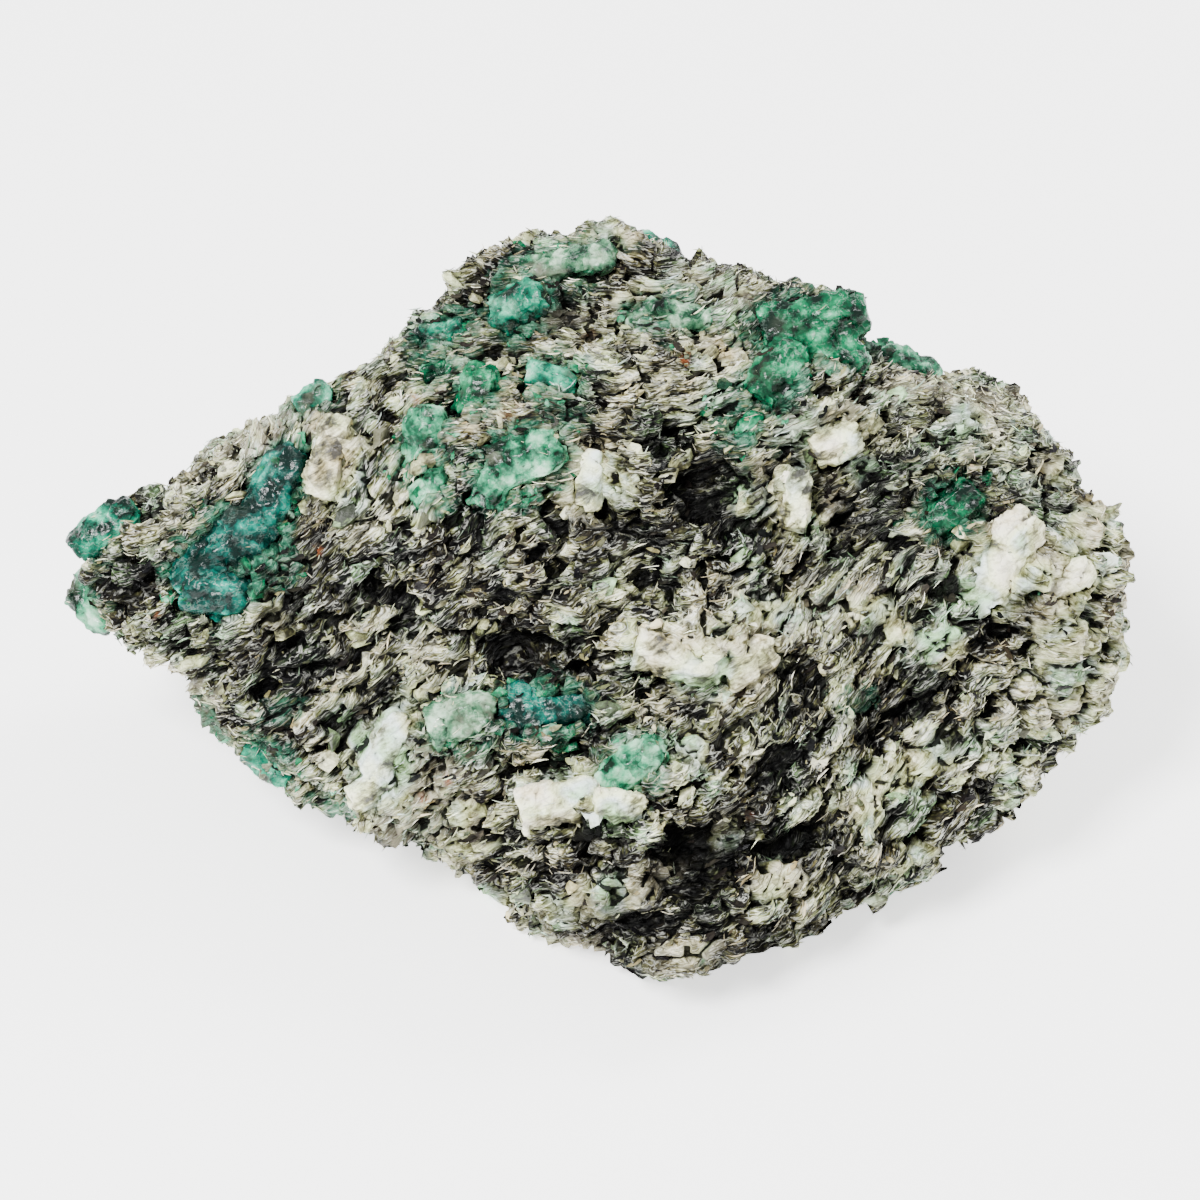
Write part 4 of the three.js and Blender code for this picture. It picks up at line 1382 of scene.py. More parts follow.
@dataclass
class Crystal:
    """A crystal node's fine form: the CAD solid with its faces broken into small flat facets.

    Sizes are in millimetres. The tilt is how strongly a facet leans, as a slope, and the crease how deep the
    seam between facets is, over their depth.
    """

    facet: float
    depth: float
    chip: float
    chip_depth: float
    tilt: float = 0.8
    crease: float = 0.5
    crease_fineness: float = 8.0
    voxel: float = 0.19

    def build(self, node: bpy.types.Object, name: str, seed: int) -> bpy.types.Object:
        """Builds one crystal.

        Args:
            node: The CAD node.
            name: The new piece's name.
            seed: Fixes its facets.

        Returns:
            The fine crystal.
        """
        crystal = remeshed(merged_copy(node, name), self.voxel * MM)
        points = mesh_points(crystal.data) / MM
        normals = mesh_normals(crystal.data)
        number, _, gap = Noise(seed + 2).cells(points / self.facet)
        relief = (
            self.depth * Noise(seed).facets(points / self.facet, self.tilt)
            - self.crease * self.depth * np.exp(-gap * self.crease_fineness)
            + self.chip_depth * Noise(seed + 1).facets(points / self.chip, self.tilt)
        )
        moved = points + normals * relief[:, None]
        moved[:, 2] = np.maximum(moved[:, 2], 0)
        move_points(crystal.data, moved * MM)
        crystal.data.shade_smooth()
        return crystal


CRYSTAL_FORMS = {
    Kind.BERYL: Crystal(facet=2.3, depth=0.36, chip=0.75, chip_depth=0.17),
    Kind.FELDSPAR: Crystal(facet=2.2, depth=0.42, chip=0.9, chip_depth=0.12),
}


class Finish:
    """Common ground of the finishes: a principled surface and a few shared inputs."""

    NOISE_ROUGHNESS = 0.6
    HUE_SHARE = 0.6  # of the wide patches in the tint, whose rest is each piece's own
    TINT = (
        (0.18, "#b9e6c2"), (0.32, "#d8e8ee"), (0.46, "#ebf3cc"),
        (0.6, "#f7f5dc"), (0.74, "#efe9dc"), (0.9, "#ebdab6"),
    )

    def __init__(self, name: str) -> None:
        """Makes an empty material.

        Args:
            name: What the material is.
        """
        self.material = bpy.data.materials.new(name)
        self.material.use_nodes = True
        self.tree = self.material.node_tree
        self.tree.nodes.clear()

    def attribute(self, name: str) -> bpy.types.NodeSocket:
        """A number kept on the mesh."""
        return self.node("ShaderNodeAttribute", attribute_name=name).outputs["Fac"]

    def vector(self, name: str) -> bpy.types.NodeSocket:
        """A vector kept on the mesh."""
        return self.node("ShaderNodeAttribute", attribute_name=name).outputs["Vector"]

    def node(self, kind: str, inputs: dict | None = None, **settings: object) -> bpy.types.Node:
        """Adds a node to this material."""
        return add_node(self.tree, kind, inputs, **settings)

    def math(self, operation: str, *values: object, clamp: bool = False) -> bpy.types.NodeSocket:
        """The outcome of one operation on up to three numbers or sockets."""
        node = self.node("ShaderNodeMath", dict(enumerate(values)), operation=operation, use_clamp=clamp)
        return node.outputs[0]

    def ramp(self, factor: bpy.types.NodeSocket, stops: Stops) -> bpy.types.NodeSocket:
        """Turns a number to a colour.

        Args:
            factor: The number.
            stops: Position and hex colour of each stop.

        Returns:
            The colour.
        """
        node = self.node("ShaderNodeValToRGB", {0: factor})
        ramp = node.color_ramp
        while len(ramp.elements) < len(stops):
            ramp.elements.new(0.5)
        for element, (position, code) in zip(ramp.elements, stops):
            element.position = position
            element.color = linear(code)
        return node.outputs[0]

    def blend(self, factor: object, first: object, second: object, how: str = "MIX") -> bpy.types.NodeSocket:
        """Mixes two colours."""
        sides = {0: factor, 6: first, 7: second}
        return self.node("ShaderNodeMix", sides, data_type="RGBA", blend_type=how).outputs[2]

    def laid(
        self, colour: object, over: object, factor: bpy.types.NodeSocket, share: float
    ) -> bpy.types.NodeSocket:
        """Lays a second colour over a first, by a share of a factor."""
        return self.blend(self.math("MULTIPLY", factor, share), colour, over)

    def rising(self, value: bpy.types.NodeSocket, gain: float, offset: float) -> bpy.types.NodeSocket:
        """A number from 0 to 1 that rises with a value: gain times the value, plus offset."""
        return self.math("MULTIPLY_ADD", value, gain, offset, clamp=True)

    def weighed(self, *parts: tuple[bpy.types.NodeSocket, float]) -> bpy.types.NodeSocket:
        """Adds up numbers, each times its own share.

        Args:
            parts: Each number with its share.

        Returns:
            Their sum.
        """
        total: object = 0.0
        for socket, share in parts:
            total = self.math("MULTIPLY_ADD", socket, share, total)
        return total

    def stretched(self, place: bpy.types.NodeSocket, size: Size) -> bpy.types.NodeSocket:
        """The place divided by a size along each axis."""
        parts = {0: place, 1: tuple(1 / side for side in size)}
        return self.node("ShaderNodeVectorMath", parts, operation="MULTIPLY").outputs[0]

    def cells(self, place: bpy.types.NodeSocket, size: Size) -> bpy.types.bpy_prop_collection:
        """Irregular cells of a size in the place's own units, as three random numbers for each."""
        cells = self.node("ShaderNodeTexVoronoi", {"Vector": self.stretched(place, size), "Scale": 1.0})
        return self.node("ShaderNodeSeparateColor", {0: cells.outputs["Color"]}).outputs

    def noise(self, place: bpy.types.NodeSocket, size: float, detail: float = 3.0) -> bpy.types.NodeSocket:
        """Cloudy noise with bumps of a size in the place's own units."""
        settings = {"Vector": place, "Scale": 1 / size, "Detail": detail, "Roughness": self.NOISE_ROUGHNESS}
        return self.node("ShaderNodeTexNoise", settings).outputs[0]

    def object_place(self) -> bpy.types.NodeSocket:
        """The point in the specimen's own frame, in metres."""
        return self.node("ShaderNodeTexCoord").outputs["Object"]

    def fibres(self, size: Size) -> bpy.types.NodeSocket:
        """Fine noise drawn out along the layers' usual lie, for pieces that don't carry the layers.

        Args:
            size: The noise's size in metres along, along and across the layers.

        Returns:
            The noise.
        """
        turn = (0.0, math.radians(FOLIATION_TILT), 0.0)
        tilted = self.node("ShaderNodeMapping", {0: self.object_place(), 2: turn})
        return self.noise(self.stretched(tilted.outputs[0], size), 1.0, detail=4.0)

    def tinted(self, colour: bpy.types.NodeSocket, strength: float) -> bpy.types.NodeSocket:
        """Shifts a colour from place to place between olive green, grey and warm beige.

        Args:
            colour: The colour.
            strength: How strongly.

        Returns:
            The shifted colour.
        """
        wide, own = self.attribute("hue"), self.attribute("tone")
        tint = self.ramp(self.weighed((wide, self.HUE_SHARE), (own, 1 - self.HUE_SHARE)), self.TINT)
        return self.blend(strength, colour, tint, "MULTIPLY")

    def lines(
        self, place: bpy.types.NodeSocket, fineness: float, detail: float = 2.0
    ) -> bpy.types.NodeSocket:
        """Thin broken lines that run along the bumps of a noise.

        Args:
            place: The place in bump sizes.
            fineness: Higher is thinner.
            detail: Finer bumps added to the noise.

        Returns:
            1 on a line and 0 off it.
        """
        away = self.math("ABSOLUTE", self.math("SUBTRACT", self.noise(place, 1.0, detail), 0.5))
        return self.math("MULTIPLY_ADD", away, -fineness, 1.0, clamp=True)

    def close(
        self, inputs: dict, height: bpy.types.NodeSocket | None = None, depth: float = 0.0
    ) -> bpy.types.Material:
        """Ends the material in a principled surface.

        Args:
            inputs: The surface's inputs.
            height: What the small relief follows.
            depth: The relief's depth in metres.

        Returns:
            The material.
        """
        if height is not None:
            bump = self.node("ShaderNodeBump", {"Strength": 1.0, "Distance": depth, "Height": height})
            inputs = {**inputs, "Normal": bump.outputs[0]}
        surface = self.node("ShaderNodeBsdfPrincipled", inputs)
        self.node("ShaderNodeOutputMaterial", {0: surface.outputs[0]})
        return self.material


@dataclass(frozen=True)
class SchistFinish:
    """Mica schist, broken: biotite and muscovite leaves from near black to silver, stained by what it holds.

    The sizes of plates, leaves, streaks, hairs and partings are in millimetres along, along and across the
    layers, and the others are in metres. A share is how much of a colour shows where its skin is pure. Mixed
    patterns are lists of shares, and hair_rise, crevice, shelter and roughness are pairs of gain and offset.
    """

    plate: Size = (1.7, 1.7, 0.6)
    leaf: Size = (0.7, 0.7, 0.22)
    streak: Size = (1.5, 1.5, 0.1)
    hair: Size = (1.9, 1.9, 0.3)
    parting: Size = (2.6, 2.6, 0.75)
    block: Size = (1.2 * MM, 1.2 * MM, 0.8 * MM)
    white_cloud: float = 1.2 * MM
    green_cloud: float = 1.0 * MM
    bump: float = 0.14 * MM
    light_mix: tuple[float, ...] = (0.56, 0.3, 0.28, 1.5)  # of region, plates, leaves and streaks
    light_offset: float = 0.775
    white_mix: tuple[float, ...] = (1.2, 0.3, 0.5)  # of cloud, blocks and streaks
    white_offset: float = 0.5
    height_mix: tuple[float, ...] = (0.6, 0.6, 1.4, -1.2)  # of leaves, plates, streaks and partings
    hair_fineness: float = 28.0
    hair_rise: tuple[float, float] = (0.7, 0.35)
    parting_fineness: float = 15.0
    parting_share: float = 0.85
    silk_share: float = 0.45
    green_share: float = 0.78
    rust_share: float = 0.7
    crevice: tuple[float, float] = (3.4, -1.75)
    shelter: tuple[float, float] = (1.2, -0.42)
    pit_shade_share: float = 0.97
    roughness: tuple[float, float] = (0.4, 0.22)
    specular: float = 0.06
    edge: str = "#f4f5ea"
    gap: str = "#0a090a"
    # near black painted shade for crevices, sheltered hollows and hollow patches
    pit_shade: str = "#010101"
    silk: str = "#a9a18a"
    rust: str = "#86492b"
    mica: Stops = (
        (0.0, "#020203"), (0.18, "#0d0b0d"), (0.32, "#262420"), (0.46, "#454432"),
        (0.58, "#6d6e54"), (0.7, "#9a9b80"), (0.82, "#c5c7ae"), (1.0, "#edefdd"),
    )
    white: Stops = (
        (0.22, "#211f16"), (0.34, "#6e6c53"), (0.45, "#b0af94"), (0.58, "#dcdcc6"), (0.76, "#f9f9ee"),
    )
    green: Stops = (
        (0.34, "#020b07"), (0.45, "#0d3a2a"), (0.55, "#2c6850"), (0.66, "#6fa286"), (0.78, "#bfd5bc"),
    )

    def make(self) -> bpy.types.Material:
        """Builds the material.

        Returns:
            The material.
        """
        finish = Finish("broken_mica_schist")
        fabric = finish.vector("fabric")
        place = finish.object_place()
        region = finish.attribute("region")
        plates = finish.cells(fabric, self.plate)
        leaves = finish.cells(fabric, self.leaf)
        streaks = finish.noise(finish.stretched(fabric, self.streak), 1.0, detail=4.0)
        light = finish.weighed(*zip((region, plates[0], leaves[0], streaks), self.light_mix))
        light = finish.math("SUBTRACT", light, self.light_offset)
        colour = finish.tinted(finish.ramp(light, self.mica), 1.0)
        hair = finish.lines(finish.stretched(fabric, self.hair), self.hair_fineness, detail=3.0)
        hair = finish.math("MULTIPLY", hair, finish.math("MULTIPLY_ADD", region, *self.hair_rise))
        colour = finish.blend(hair, colour, linear(self.edge))
        parting = finish.lines(finish.stretched(fabric, self.parting), self.parting_fineness)
        colour = finish.laid(colour, linear(self.gap), parting, self.parting_share)
        colour = finish.laid(colour, linear(self.silk), finish.attribute(Kind.SILK.value), self.silk_share)
        blocks = finish.cells(place, self.block)
        cloud = finish.noise(place, self.white_cloud, detail=6.0)
        grain = finish.weighed(*zip((cloud, blocks[0], streaks), self.white_mix))
        white = finish.ramp(finish.math("SUBTRACT", grain, self.white_offset), self.white)
        colour = finish.blend(finish.attribute(Kind.FELDSPAR.value), colour, finish.tinted(white, 1.0))
        green = finish.ramp(finish.noise(place, self.green_cloud, detail=5.0), self.green)
        colour = finish.laid(colour, green, finish.attribute(Kind.BERYL.value), self.green_share)
        colour = finish.laid(colour, linear(self.rust), finish.attribute(Kind.RUST.value), self.rust_share)
        # painted shade: crevices, wide hollows and hollow patches are darkened towards near black
        crevice = finish.rising(finish.attribute("cavity"), *self.crevice)
        shelter = finish.rising(finish.attribute("shelter"), *self.shelter)
        dark = finish.math("MAXIMUM", shelter, finish.attribute(Kind.HOLLOW.value))
        dark = finish.math("MAXIMUM", crevice, dark)
        colour = finish.laid(colour, linear(self.pit_shade), dark, self.pit_shade_share)
        rough = finish.math("MULTIPLY_ADD", leaves[1], *self.roughness)
        surface = {"Base Color": colour, "Roughness": rough, "Specular IOR Level": self.specular}
        height = finish.weighed(*zip((leaves[2], plates[2], streaks, parting), self.height_mix))
        return finish.close(surface, height, self.bump)


@dataclass(frozen=True)
class MicaFinish:
    """A mica plate: smooth cleavage with a pearly shine, each plate of its own tone.

    roughness is the smoothest and the roughest plate's, and the fibre's size and the bump are in metres.
    """

    name: str
    stops: Stops
    metallic: float
    roughness: tuple[float, float]
    shine: float = 0.5
    fibre: Size = (0.7 * MM, 0.7 * MM, 0.1 * MM)
    mix: tuple[float, ...] = (0.5, 1.1, 0.4)  # of tone, streak and region
    offset: float = 0.5
    bump: float = 0.05 * MM

    def make(self) -> bpy.types.Material:
        """Builds the material.

        Returns:
            The material.
        """
        finish = Finish(self.name)
        tone = finish.attribute("tone")
        streak = finish.fibres(self.fibre)
        mixed = finish.weighed(*zip((tone, streak, finish.attribute("region")), self.mix))
        mixed = finish.math("SUBTRACT", mixed, self.offset)
        smoothest, roughest = self.roughness
        surface = {
            "Base Color": finish.tinted(finish.ramp(mixed, self.stops), 1.0),
            "Roughness": finish.math("MULTIPLY_ADD", tone, roughest - smoothest, smoothest),
            "Metallic": self.metallic,
            "Specular IOR Level": self.shine,
        }
        return finish.close(surface, streak, self.bump)


@dataclass(frozen=True)
class FeldsparFinish:
    """Feldspar and quartz, broken: milky, slightly see-through, white to cream with grey and brown clouds.

    Sizes are in metres. crevice and roughness are pairs of gain and offset.
    """

    name: str = "milky_feldspar"
    stops: Stops = (
        (0.22, "#2c2a1e"), (0.34, "#716f55"), (0.45, "#b0af93"), (0.58, "#dedec8"), (0.76, "#fbfbf0"),
    )
    cloud: float = 2.0 * MM
    fibre: Size = (0.8 * MM, 0.8 * MM, 0.14 * MM)
    block: Size = (1.5 * MM, 1.5 * MM, 1.0 * MM)
    crack: Size = (1.3 * MM, 1.3 * MM, 0.7 * MM)
    grit: float = 0.3 * MM
    bump: float = 0.1 * MM
    mix: tuple[float, ...] = (1.5, 0.7, 0.25, 0.3, 0.3)  # of cloud, fibre, block, tone and region
    offset: float = 0.95
    tint: float = 0.9
    roughness: tuple[float, float] = (0.4, 0.25)
    see_through: float = 0.2
    see_depth: float = 0.5 * MM
    see_colours: tuple[float, float, float] = (1.0, 1.0, 0.9)
    crevice: tuple[float, float] = (3.0, -1.6)
    crack_fineness: float = 22.0
    crack_share: float = 0.35
    # near black for painted shade in crevices and for the real cracks
    dark: str = "#14120c"
    dark_share: float = 0.9

    def make(self) -> bpy.types.Material:
        """Builds the material.

        Returns:
            The material.
        """
        finish = Finish(self.name)
        place = finish.object_place()
        patterns = (
            finish.noise(place, self.cloud, detail=7.0),
            finish.fibres(self.fibre),
            finish.cells(place, self.block)[0],
            finish.attribute("tone"),
            finish.attribute("region"),
        )
        spread = finish.math("SUBTRACT", finish.weighed(*zip(patterns, self.mix)), self.offset)
        colour = finish.tinted(finish.ramp(spread, self.stops), self.tint)
        # painted shade in crevices, joined by the real dark cracks
        crevice = finish.rising(finish.attribute("cavity"), *self.crevice)
        crack = finish.lines(finish.stretched(place, self.crack), self.crack_fineness, detail=3.0)
        crevice = finish.math("MAXIMUM", crevice, finish.math("MULTIPLY", crack, self.crack_share))
        colour = finish.laid(colour, linear(self.dark), crevice, self.dark_share)
        grit = finish.noise(place, self.grit)
        surface = {
            "Base Color": colour,
            "Roughness": finish.math("MULTIPLY_ADD", grit, *self.roughness),
            "Subsurface Weight": self.see_through,
            "Subsurface Scale": self.see_depth,
            "Subsurface Radius": self.see_colours,
        }
        return finish.close(surface, grit, self.bump)


@dataclass(frozen=True)
class BerylFinish:
    """Cloudy beryl, broken: glassy faces over a green body with dark depths and milky clouds.

    The colours run from the depths to the milk. clear is how much light goes through, and veil how much of
    the grey veil shows. Sizes are in metres. Each rise, crevice and roughness is a pair of gain and offset.
    """

    IOR = 1.58
    PLACES = (0.2, 0.36, 0.52, 0.7, 0.92)  # of the five colours on the ramp

    name: str
    depths: str
    deep: str
    body: str
    cloud: str
    clear: float
    veil: float = 0.4
    milk: str = "#bddac4"
    veil_colour: str = "#8b907a"
    glint_colour: str = "#d4eadd"
    # colour of the painted shade in the crystal's crevices
    dark: str = "#020806"
    mist: float = 1.6 * MM
    veil_size: float = 2.6 * MM
    grain: Size = (0.9 * MM, 0.9 * MM, 0.9 * MM)
    glint: Size = (0.9 * MM, 0.9 * MM, 0.6 * MM)
    grit: float = 0.25 * MM
    bump: float = 0.04 * MM
    mix: tuple[float, ...] = (1.5, 0.2, 0.25, 0.3)  # of mist, grain, tone and region
    offset: float = 0.68
    veil_rise: tuple[float, float] = (5.0, -2.75)
    glint_rise: tuple[float, float] = (2.4, -0.95)
    glint_fineness: float = 30.0
    glint_share: float = 0.35
    crevice: tuple[float, float] = (3.0, -1.6)
    dark_share: float = 0.85
    roughness: tuple[float, float] = (0.5, -0.08)
    specular: float = 0.08

    def make(self) -> bpy.types.Material:
        """Builds the material.

        Returns:
            The material.
        """
        finish = Finish(self.name)
        place = finish.object_place()
        mist = finish.noise(place, self.mist, detail=7.0)
        grain = finish.cells(place, self.grain)[0]
        patterns = (mist, grain, finish.attribute("tone"), finish.attribute("region"))
        spread = finish.math("SUBTRACT", finish.weighed(*zip(patterns, self.mix)), self.offset)
        shades = (self.depths, self.deep, self.body, self.cloud, self.milk)
        colour = finish.ramp(spread, tuple(zip(self.PLACES, shades)))
        veil = finish.rising(finish.noise(place, self.veil_size, detail=6.0), *self.veil_rise)
        colour = finish.laid(colour, linear(self.veil_colour), veil, self.veil)
        glint = finish.lines(finish.stretched(place, self.glint), self.glint_fineness, detail=3.0)
        glint = finish.math("MULTIPLY", glint, finish.rising(mist, *self.glint_rise))
        colour = finish.laid(colour, linear(self.glint_colour), glint, self.glint_share)
        # painted shade: crevices darkened towards near black green
        crevice = finish.rising(finish.attribute("cavity"), *self.crevice)
        colour = finish.laid(colour, linear(self.dark), crevice, self.dark_share)
        grit = finish.noise(place, self.grit)
        surface = {
            "Base Color": colour,
            "Roughness": finish.rising(grit, *self.roughness),
            "IOR": self.IOR,
            "Specular IOR Level": self.specular,
            "Transmission Weight": self.clear,
        }
        return finish.close(surface, grit, self.bump)


BERYL_FINISHES = {
    Tone.TEAL: BerylFinish(
        "deep_teal_beryl", "#001a16", "#003d36", "#006455", "#1f9480", clear=0.2, veil=0.05, milk="#79bfa9"
    ),
    Tone.TURQUOISE: BerylFinish("turquoise_beryl", "#00160f", "#004e3b", "#0b7c5e", "#50b893", clear=0.18),
    Tone.MINT: BerylFinish("mint_beryl", "#02180d", "#14543a", "#3f946c", "#8ecaa4", clear=0.18),
    Tone.DULL: BerylFinish(
        "dull_grey_green_beryl", "#020906", "#1a402c", "#4e7d5c", "#a8c6a9", clear=0.15, veil=0.7
    ),
    Tone.MOSS: BerylFinish(
        "moss_green_beryl", "#00150d", "#00442a", "#0a7048", "#4aa67a", clear=0.2, veil=0.1
    ),
}

DARK_MICA = MicaFinish(
    "black_biotite_plate",
    ((0.0, "#040305"), (0.4, "#151214"), (0.75, "#2f2c2a"), (1.0, "#57534a")),
    metallic=0.0,
    roughness=(0.18, 0.45),
    shine=0.06,
)
SILVER_MICA = MicaFinish(
    "silver_muscovite_plate",
    ((0.0, "#1c1b16"), (0.25, "#464739"), (0.5, "#7b7d66"), (0.75, "#b5b89e"), (1.0, "#e9ecda")),
    metallic=0.1,
    roughness=(0.14, 0.4),
)
BRIGHT_MICA = MicaFinish(
    "bright_mica_edge",
    ((0.0, "#43423a"), (0.3, "#8b8a7c"), (0.55, "#d0d0c4"), (1.0, "#fbfbf6")),
    metallic=0.1,
    roughness=(0.12, 0.35),
    shine=0.7,
)
CREAM_MICA = MicaFinish(
    "cream_mica_plate",
    ((0.0, "#3c3626"), (0.35, "#756c52"), (0.7, "#a79f83"), (1.0, "#d8d1b8")),
    metallic=0.05,
    roughness=(0.18, 0.42),
)
GREY_QUARTZ = FeldsparFinish(
    "grey_quartz_grain",
    ((0.15, "#12110c"), (0.34, "#4b4836"), (0.46, "#7b7b5f"), (0.6, "#b0b294"), (0.8, "#e4e7cf")),
)
WHITE_FELDSPAR = FeldsparFinish("white_feldspar_grain")

# Each strewn piece with its finish and its material slot
STREWN = (
    (
        Scatter(
            "mica_dark_flakes", Shape.FLAKE, "dark_flakes",
            per_square_mm=0.4, size=(0.5, 1.6), width=(0.25, 0.6), spread=0.22, yaw=0.6, seed=101,
        ),
        DARK_MICA,
        "schist",
    ),
    (
        Scatter(
            "mica_silver_flakes", Shape.FLAKE, "silver_flakes",
            per_square_mm=0.45, size=(0.4, 1.5), width=(0.2, 0.5), spread=0.22, yaw=0.45, seed=202,
        ),
        SILVER_MICA,
        "schist",
    ),
    (
        Scatter(
            "mica_cream_flakes", Shape.FLAKE, "cream_flakes",
            per_square_mm=0.35, size=(0.4, 1.4), width=(0.2, 0.5), spread=0.22, yaw=0.45, seed=303,
        ),
        CREAM_MICA,
        "schist",
    ),
    (
        Scatter(
            "mica_hairs", Shape.FLAKE, "hairs",
            per_square_mm=2.2, size=(0.5, 1.8), width=(0.04, 0.09), spread=0.22, yaw=0.35, seed=808,
        ),
        BRIGHT_MICA,
        "schist",
    ),
    (
        Scatter(
            "schist_rubble", Shape.GRAIN, "rubble",
            per_square_mm=0.28, size=(0.4, 2.6), width=(0.55, 0.9), spread=0.3, yaw=0.6, seed=606, sink=0.34,
        ),
        GREY_QUARTZ,
        "feldspar",
    ),
    (
        Scatter(
            "feldspar_grains", Shape.GRAIN, "feldspar_grains",
            per_square_mm=0.16, size=(0.6, 2.8), width=(0.65, 0.95), spread=0.4, yaw=1.5, seed=404, sink=0.36,
        ),
        WHITE_FELDSPAR,
        "feldspar",
    ),
    (
        Scatter(
            "beryl_grains", Shape.GRAIN, "beryl_grains",
            per_square_mm=0.4, size=(0.6, 2.2), width=(0.65, 0.95), spread=0.4, yaw=1.5, seed=505, sink=0.36,
        ),
        BERYL_FINISHES[Tone.MOSS],
        "emerald",
    ),
)


@dataclass
class Specimen:
    """The whole dressed specimen."""

    CRUST = 0.16  # share of the usual small pieces that a crystal carries
    FIRST_SEED = 700  # of the crystals' facets
    SEEDS = 3  # that each crystal takes

    frame: dict
    box: list[list[float]]
    camera: PhotoCamera
    foliation: Foliation = field(default_factory=Foliation)

    def _claim(self, piece: bpy.types.Object, node: str | None = None) -> None:
        """Makes a piece ride and hides the node it stands for.

        Args:
            piece: The piece.
            node: The CAD node it replaces, if any.
        """
        draw_in(piece, self.box)
        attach(piece, SPECIMEN)
        if node:
            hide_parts(node)

    def build(self) -> None:
        """Builds and dresses every piece."""
        nodes = self.frame["nodes"]
        beryls = [name for name in nodes if name.startswith("emerald")]
        feldspars = [name for name in nodes if name.startswith("feldspar")]
        crystals = [(Kind.BERYL, self._middle(name)) for name in beryls]
        crystals += [(Kind.FELDSPAR, self._middle(name)) for name in feldspars]
        skin = Skin(self.foliation)
        stone = SchistBody()
        body = remeshed(merged_copy(nodes["matrix"], "schist_body"), stone.voxel * MM)
        chart = SkinMap(self.camera, body, self.foliation, crystals)
        stone.build(body, chart, skin)
        draw_in(body, self.box)
        body.data.materials.clear()
        body.data.materials.append(SchistFinish().make())
        log.info("%s: %d triangles", body.name, triangles(body))
        set_in = self._set_crystals(beryls, feldspars, skin, chart)
        self._strew(self._host([body, *set_in]))
        self._claim(body, "matrix")

    def _host(self, pieces: list[bpy.types.Object]) -> bpy.types.Object:
        """Joins copies of the stone and its crystals into the skin that the small pieces are strewn over.

        Args:
            pieces: The stone and its crystals.

        Returns:
            The joined copy.
        """
        copies = []
        for piece in pieces:
            copy = bpy.data.objects.new(f"{piece.name}_copy", piece.data.copy())
            bpy.context.scene.collection.objects.link(copy)
            copies.append(copy)
        host = copies[0]
        with bpy.context.temp_override(active_object=host, object=host, selected_editable_objects=copies):
            bpy.ops.object.join()
        return host

    def _middle(self, name: str) -> np.ndarray:
        """The middle of a CAD node's box."""
        low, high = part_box(name)
        return (np.array(low) + np.array(high)) / 2

    def _strew(self, host: bpy.types.Object) -> None:
        """Strews mica flakes, rubble, feldspar grains and beryl grains over the skin.

        Args:
            host: The joined skin, which is removed at the end.
        """
        for scatter, finish, slot in STREWN:
            self._claim(scatter.build(host, finish.make()))
        bpy.data.objects.remove(host)

    def _set_crystals(
        self, beryls: list[str], feldspars: list[str], skin: Skin, chart: SkinMap
    ) -> list[bpy.types.Object]:
        """Builds each crystal node's fine form.

        Args:
            beryls: Names of the emerald nodes.
            feldspars: Names of the feldspar nodes.
            skin: Stores what the finishes and the strewn pieces read.
            chart: Shades the crystals as it shades the stone.

        Returns:
            The crystals.
        """
        green = {tone: finish.make() for tone, finish in BERYL_FINISHES.items()}
        white = FeldsparFinish().make()
        made = []
        for number, name in enumerate(beryls + feldspars):
            kind = Kind.BERYL if name in beryls else Kind.FELDSPAR
            seed = self.FIRST_SEED + self.SEEDS * number
            crystal = CRYSTAL_FORMS[kind].build(self.frame["nodes"][name], f"{name}_crystal", seed)
            weights = chart.weights(mesh_points(crystal.data))
            for other in (Kind.BERYL, Kind.FELDSPAR, Kind.RUST, Kind.SILK):
                weights[other] = np.full(len(crystal.data.vertices), float(other is kind))
            skin.keep(crystal.data, weights, self.CRUST)
            crystal.data.materials.clear()
            crystal.data.materials.append(green[BERYL_TONES[name]] if name in beryls else white)
            self._claim(crystal, name)
            made.append(crystal)
        log.info("%d crystals: %d triangles", len(made), sum(triangles(crystal) for crystal in made))
        return made


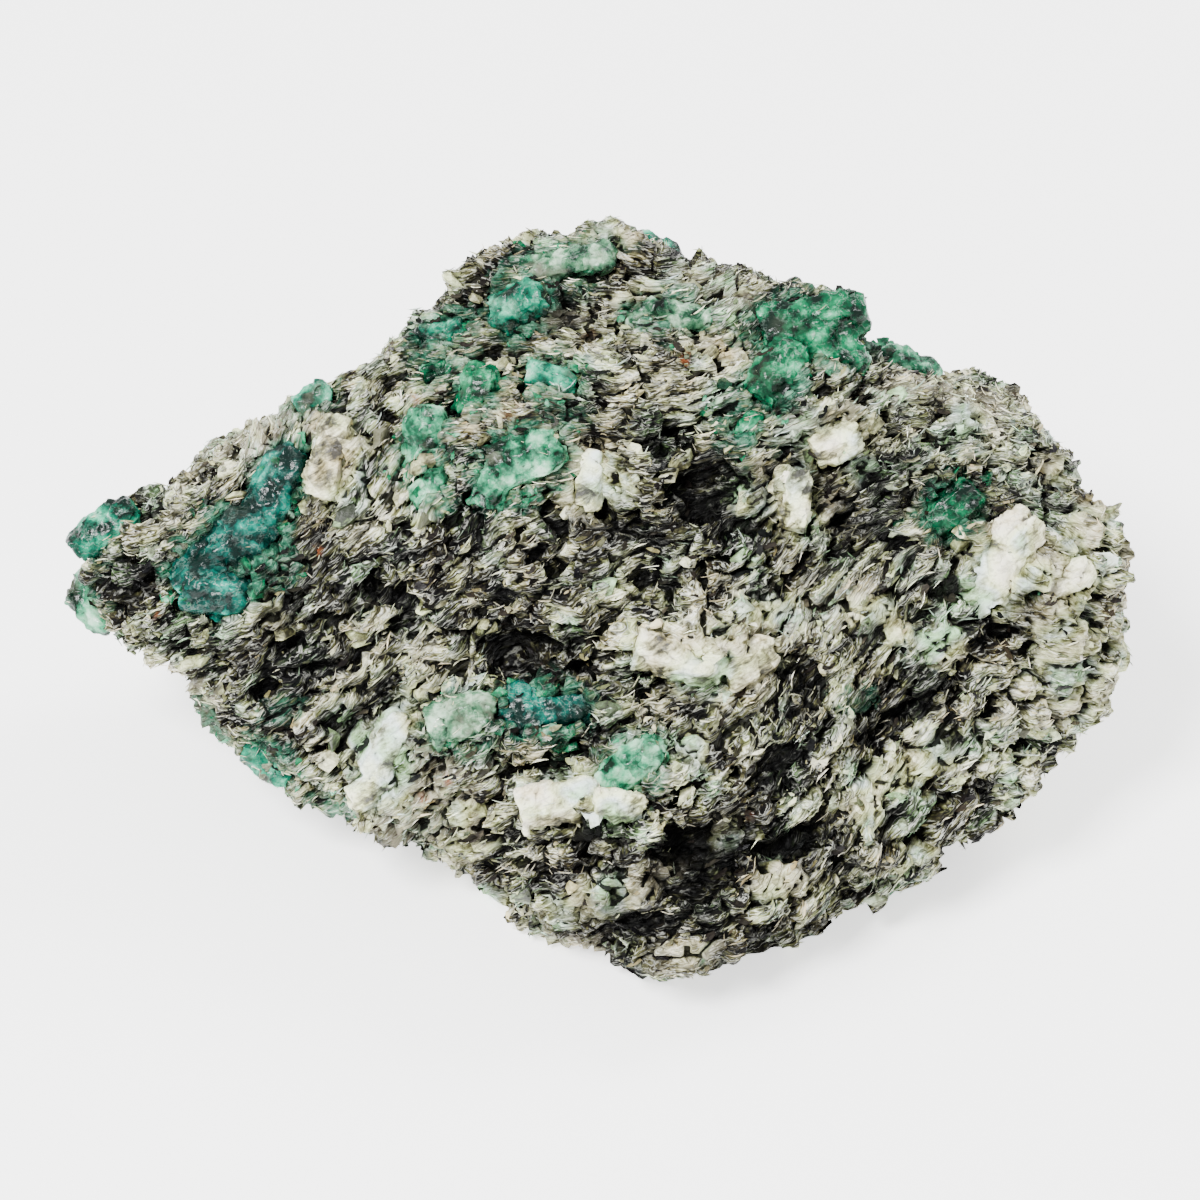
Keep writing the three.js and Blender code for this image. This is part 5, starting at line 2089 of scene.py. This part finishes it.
@dataclass
class Studio:
    """A plain white floor, soft light from all round, a broad key light on the left and a weak rim light.

    Places and sizes are in metres, and powers in watts.
    """

    FLOOR = 3.0  # from the floor's middle to its rim
    AIM = (0.0, 0.0, 0.015)

    key_place: tuple[float, float, float] = (-0.25, -0.3, 0.55)
    key_size: float = 0.2
    key_watts: float = 11.0
    rim_place: tuple[float, float, float] = (0.35, 0.25, 0.4)
    rim_size: float = 0.2
    rim_watts: float = 3.0
    sky: float = 1.3
    paper_glow: float = 1.4

    def build(self) -> None:
        """Makes the floor, the lights and the sky."""
        work = bmesh.new()
        bmesh.ops.create_grid(work, x_segments=1, y_segments=1, size=self.FLOOR)
        mesh = bpy.data.meshes.new("floor")
        work.to_mesh(mesh)
        work.free()
        floor = bpy.data.objects.new("floor", mesh)
        bpy.context.scene.collection.objects.link(floor)
        paper = {"Base Color": linear("#fbfbfb"), "Roughness": 0.9}
        paper |= {"Emission Color": linear("#ffffff"), "Emission Strength": self.paper_glow}
        mesh.materials.append(Finish("white_paper_floor").close(paper))
        floor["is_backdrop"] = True
        self._light("key", self.key_place, self.key_size, self.key_watts)
        self._light("rim", self.rim_place, self.rim_size, self.rim_watts)
        world = bpy.data.worlds.new("studio")
        world.use_nodes = True
        sky = world.node_tree.nodes["Background"].inputs
        sky["Color"].default_value = linear("#ffffff")
        sky["Strength"].default_value = self.sky
        bpy.context.scene.world = world

    def _light(self, name: str, place: tuple[float, float, float], size: float, watts: float) -> None:
        """Adds one square light that faces the specimen.

        Args:
            name: The light's name.
            place: Where it stands, in metres.
            size: Its side in metres.
            watts: Its power.
        """
        data = bpy.data.lights.new(name, "AREA")
        data.size = size
        data.energy = watts
        light = bpy.data.objects.new(name, data)
        light.location = place
        light.rotation_euler = (Vector(self.AIM) - Vector(place)).to_track_quat("-Z", "Y").to_euler()
        bpy.context.scene.collection.objects.link(light)


def main() -> None:
    """Builds the scene in order."""
    logging.basicConfig(level=logging.INFO, format="%(message)s")
    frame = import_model()
    cad_bounds = [list(corner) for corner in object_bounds()]
    corners = np.concatenate([mesh_points(node.data) for node in frame["nodes"].values()])
    camera = PhotoCamera(corners)
    camera.create()
    Specimen(frame, cad_bounds, camera).build()
    Studio().build()


if __name__ == "__main__":
    main()
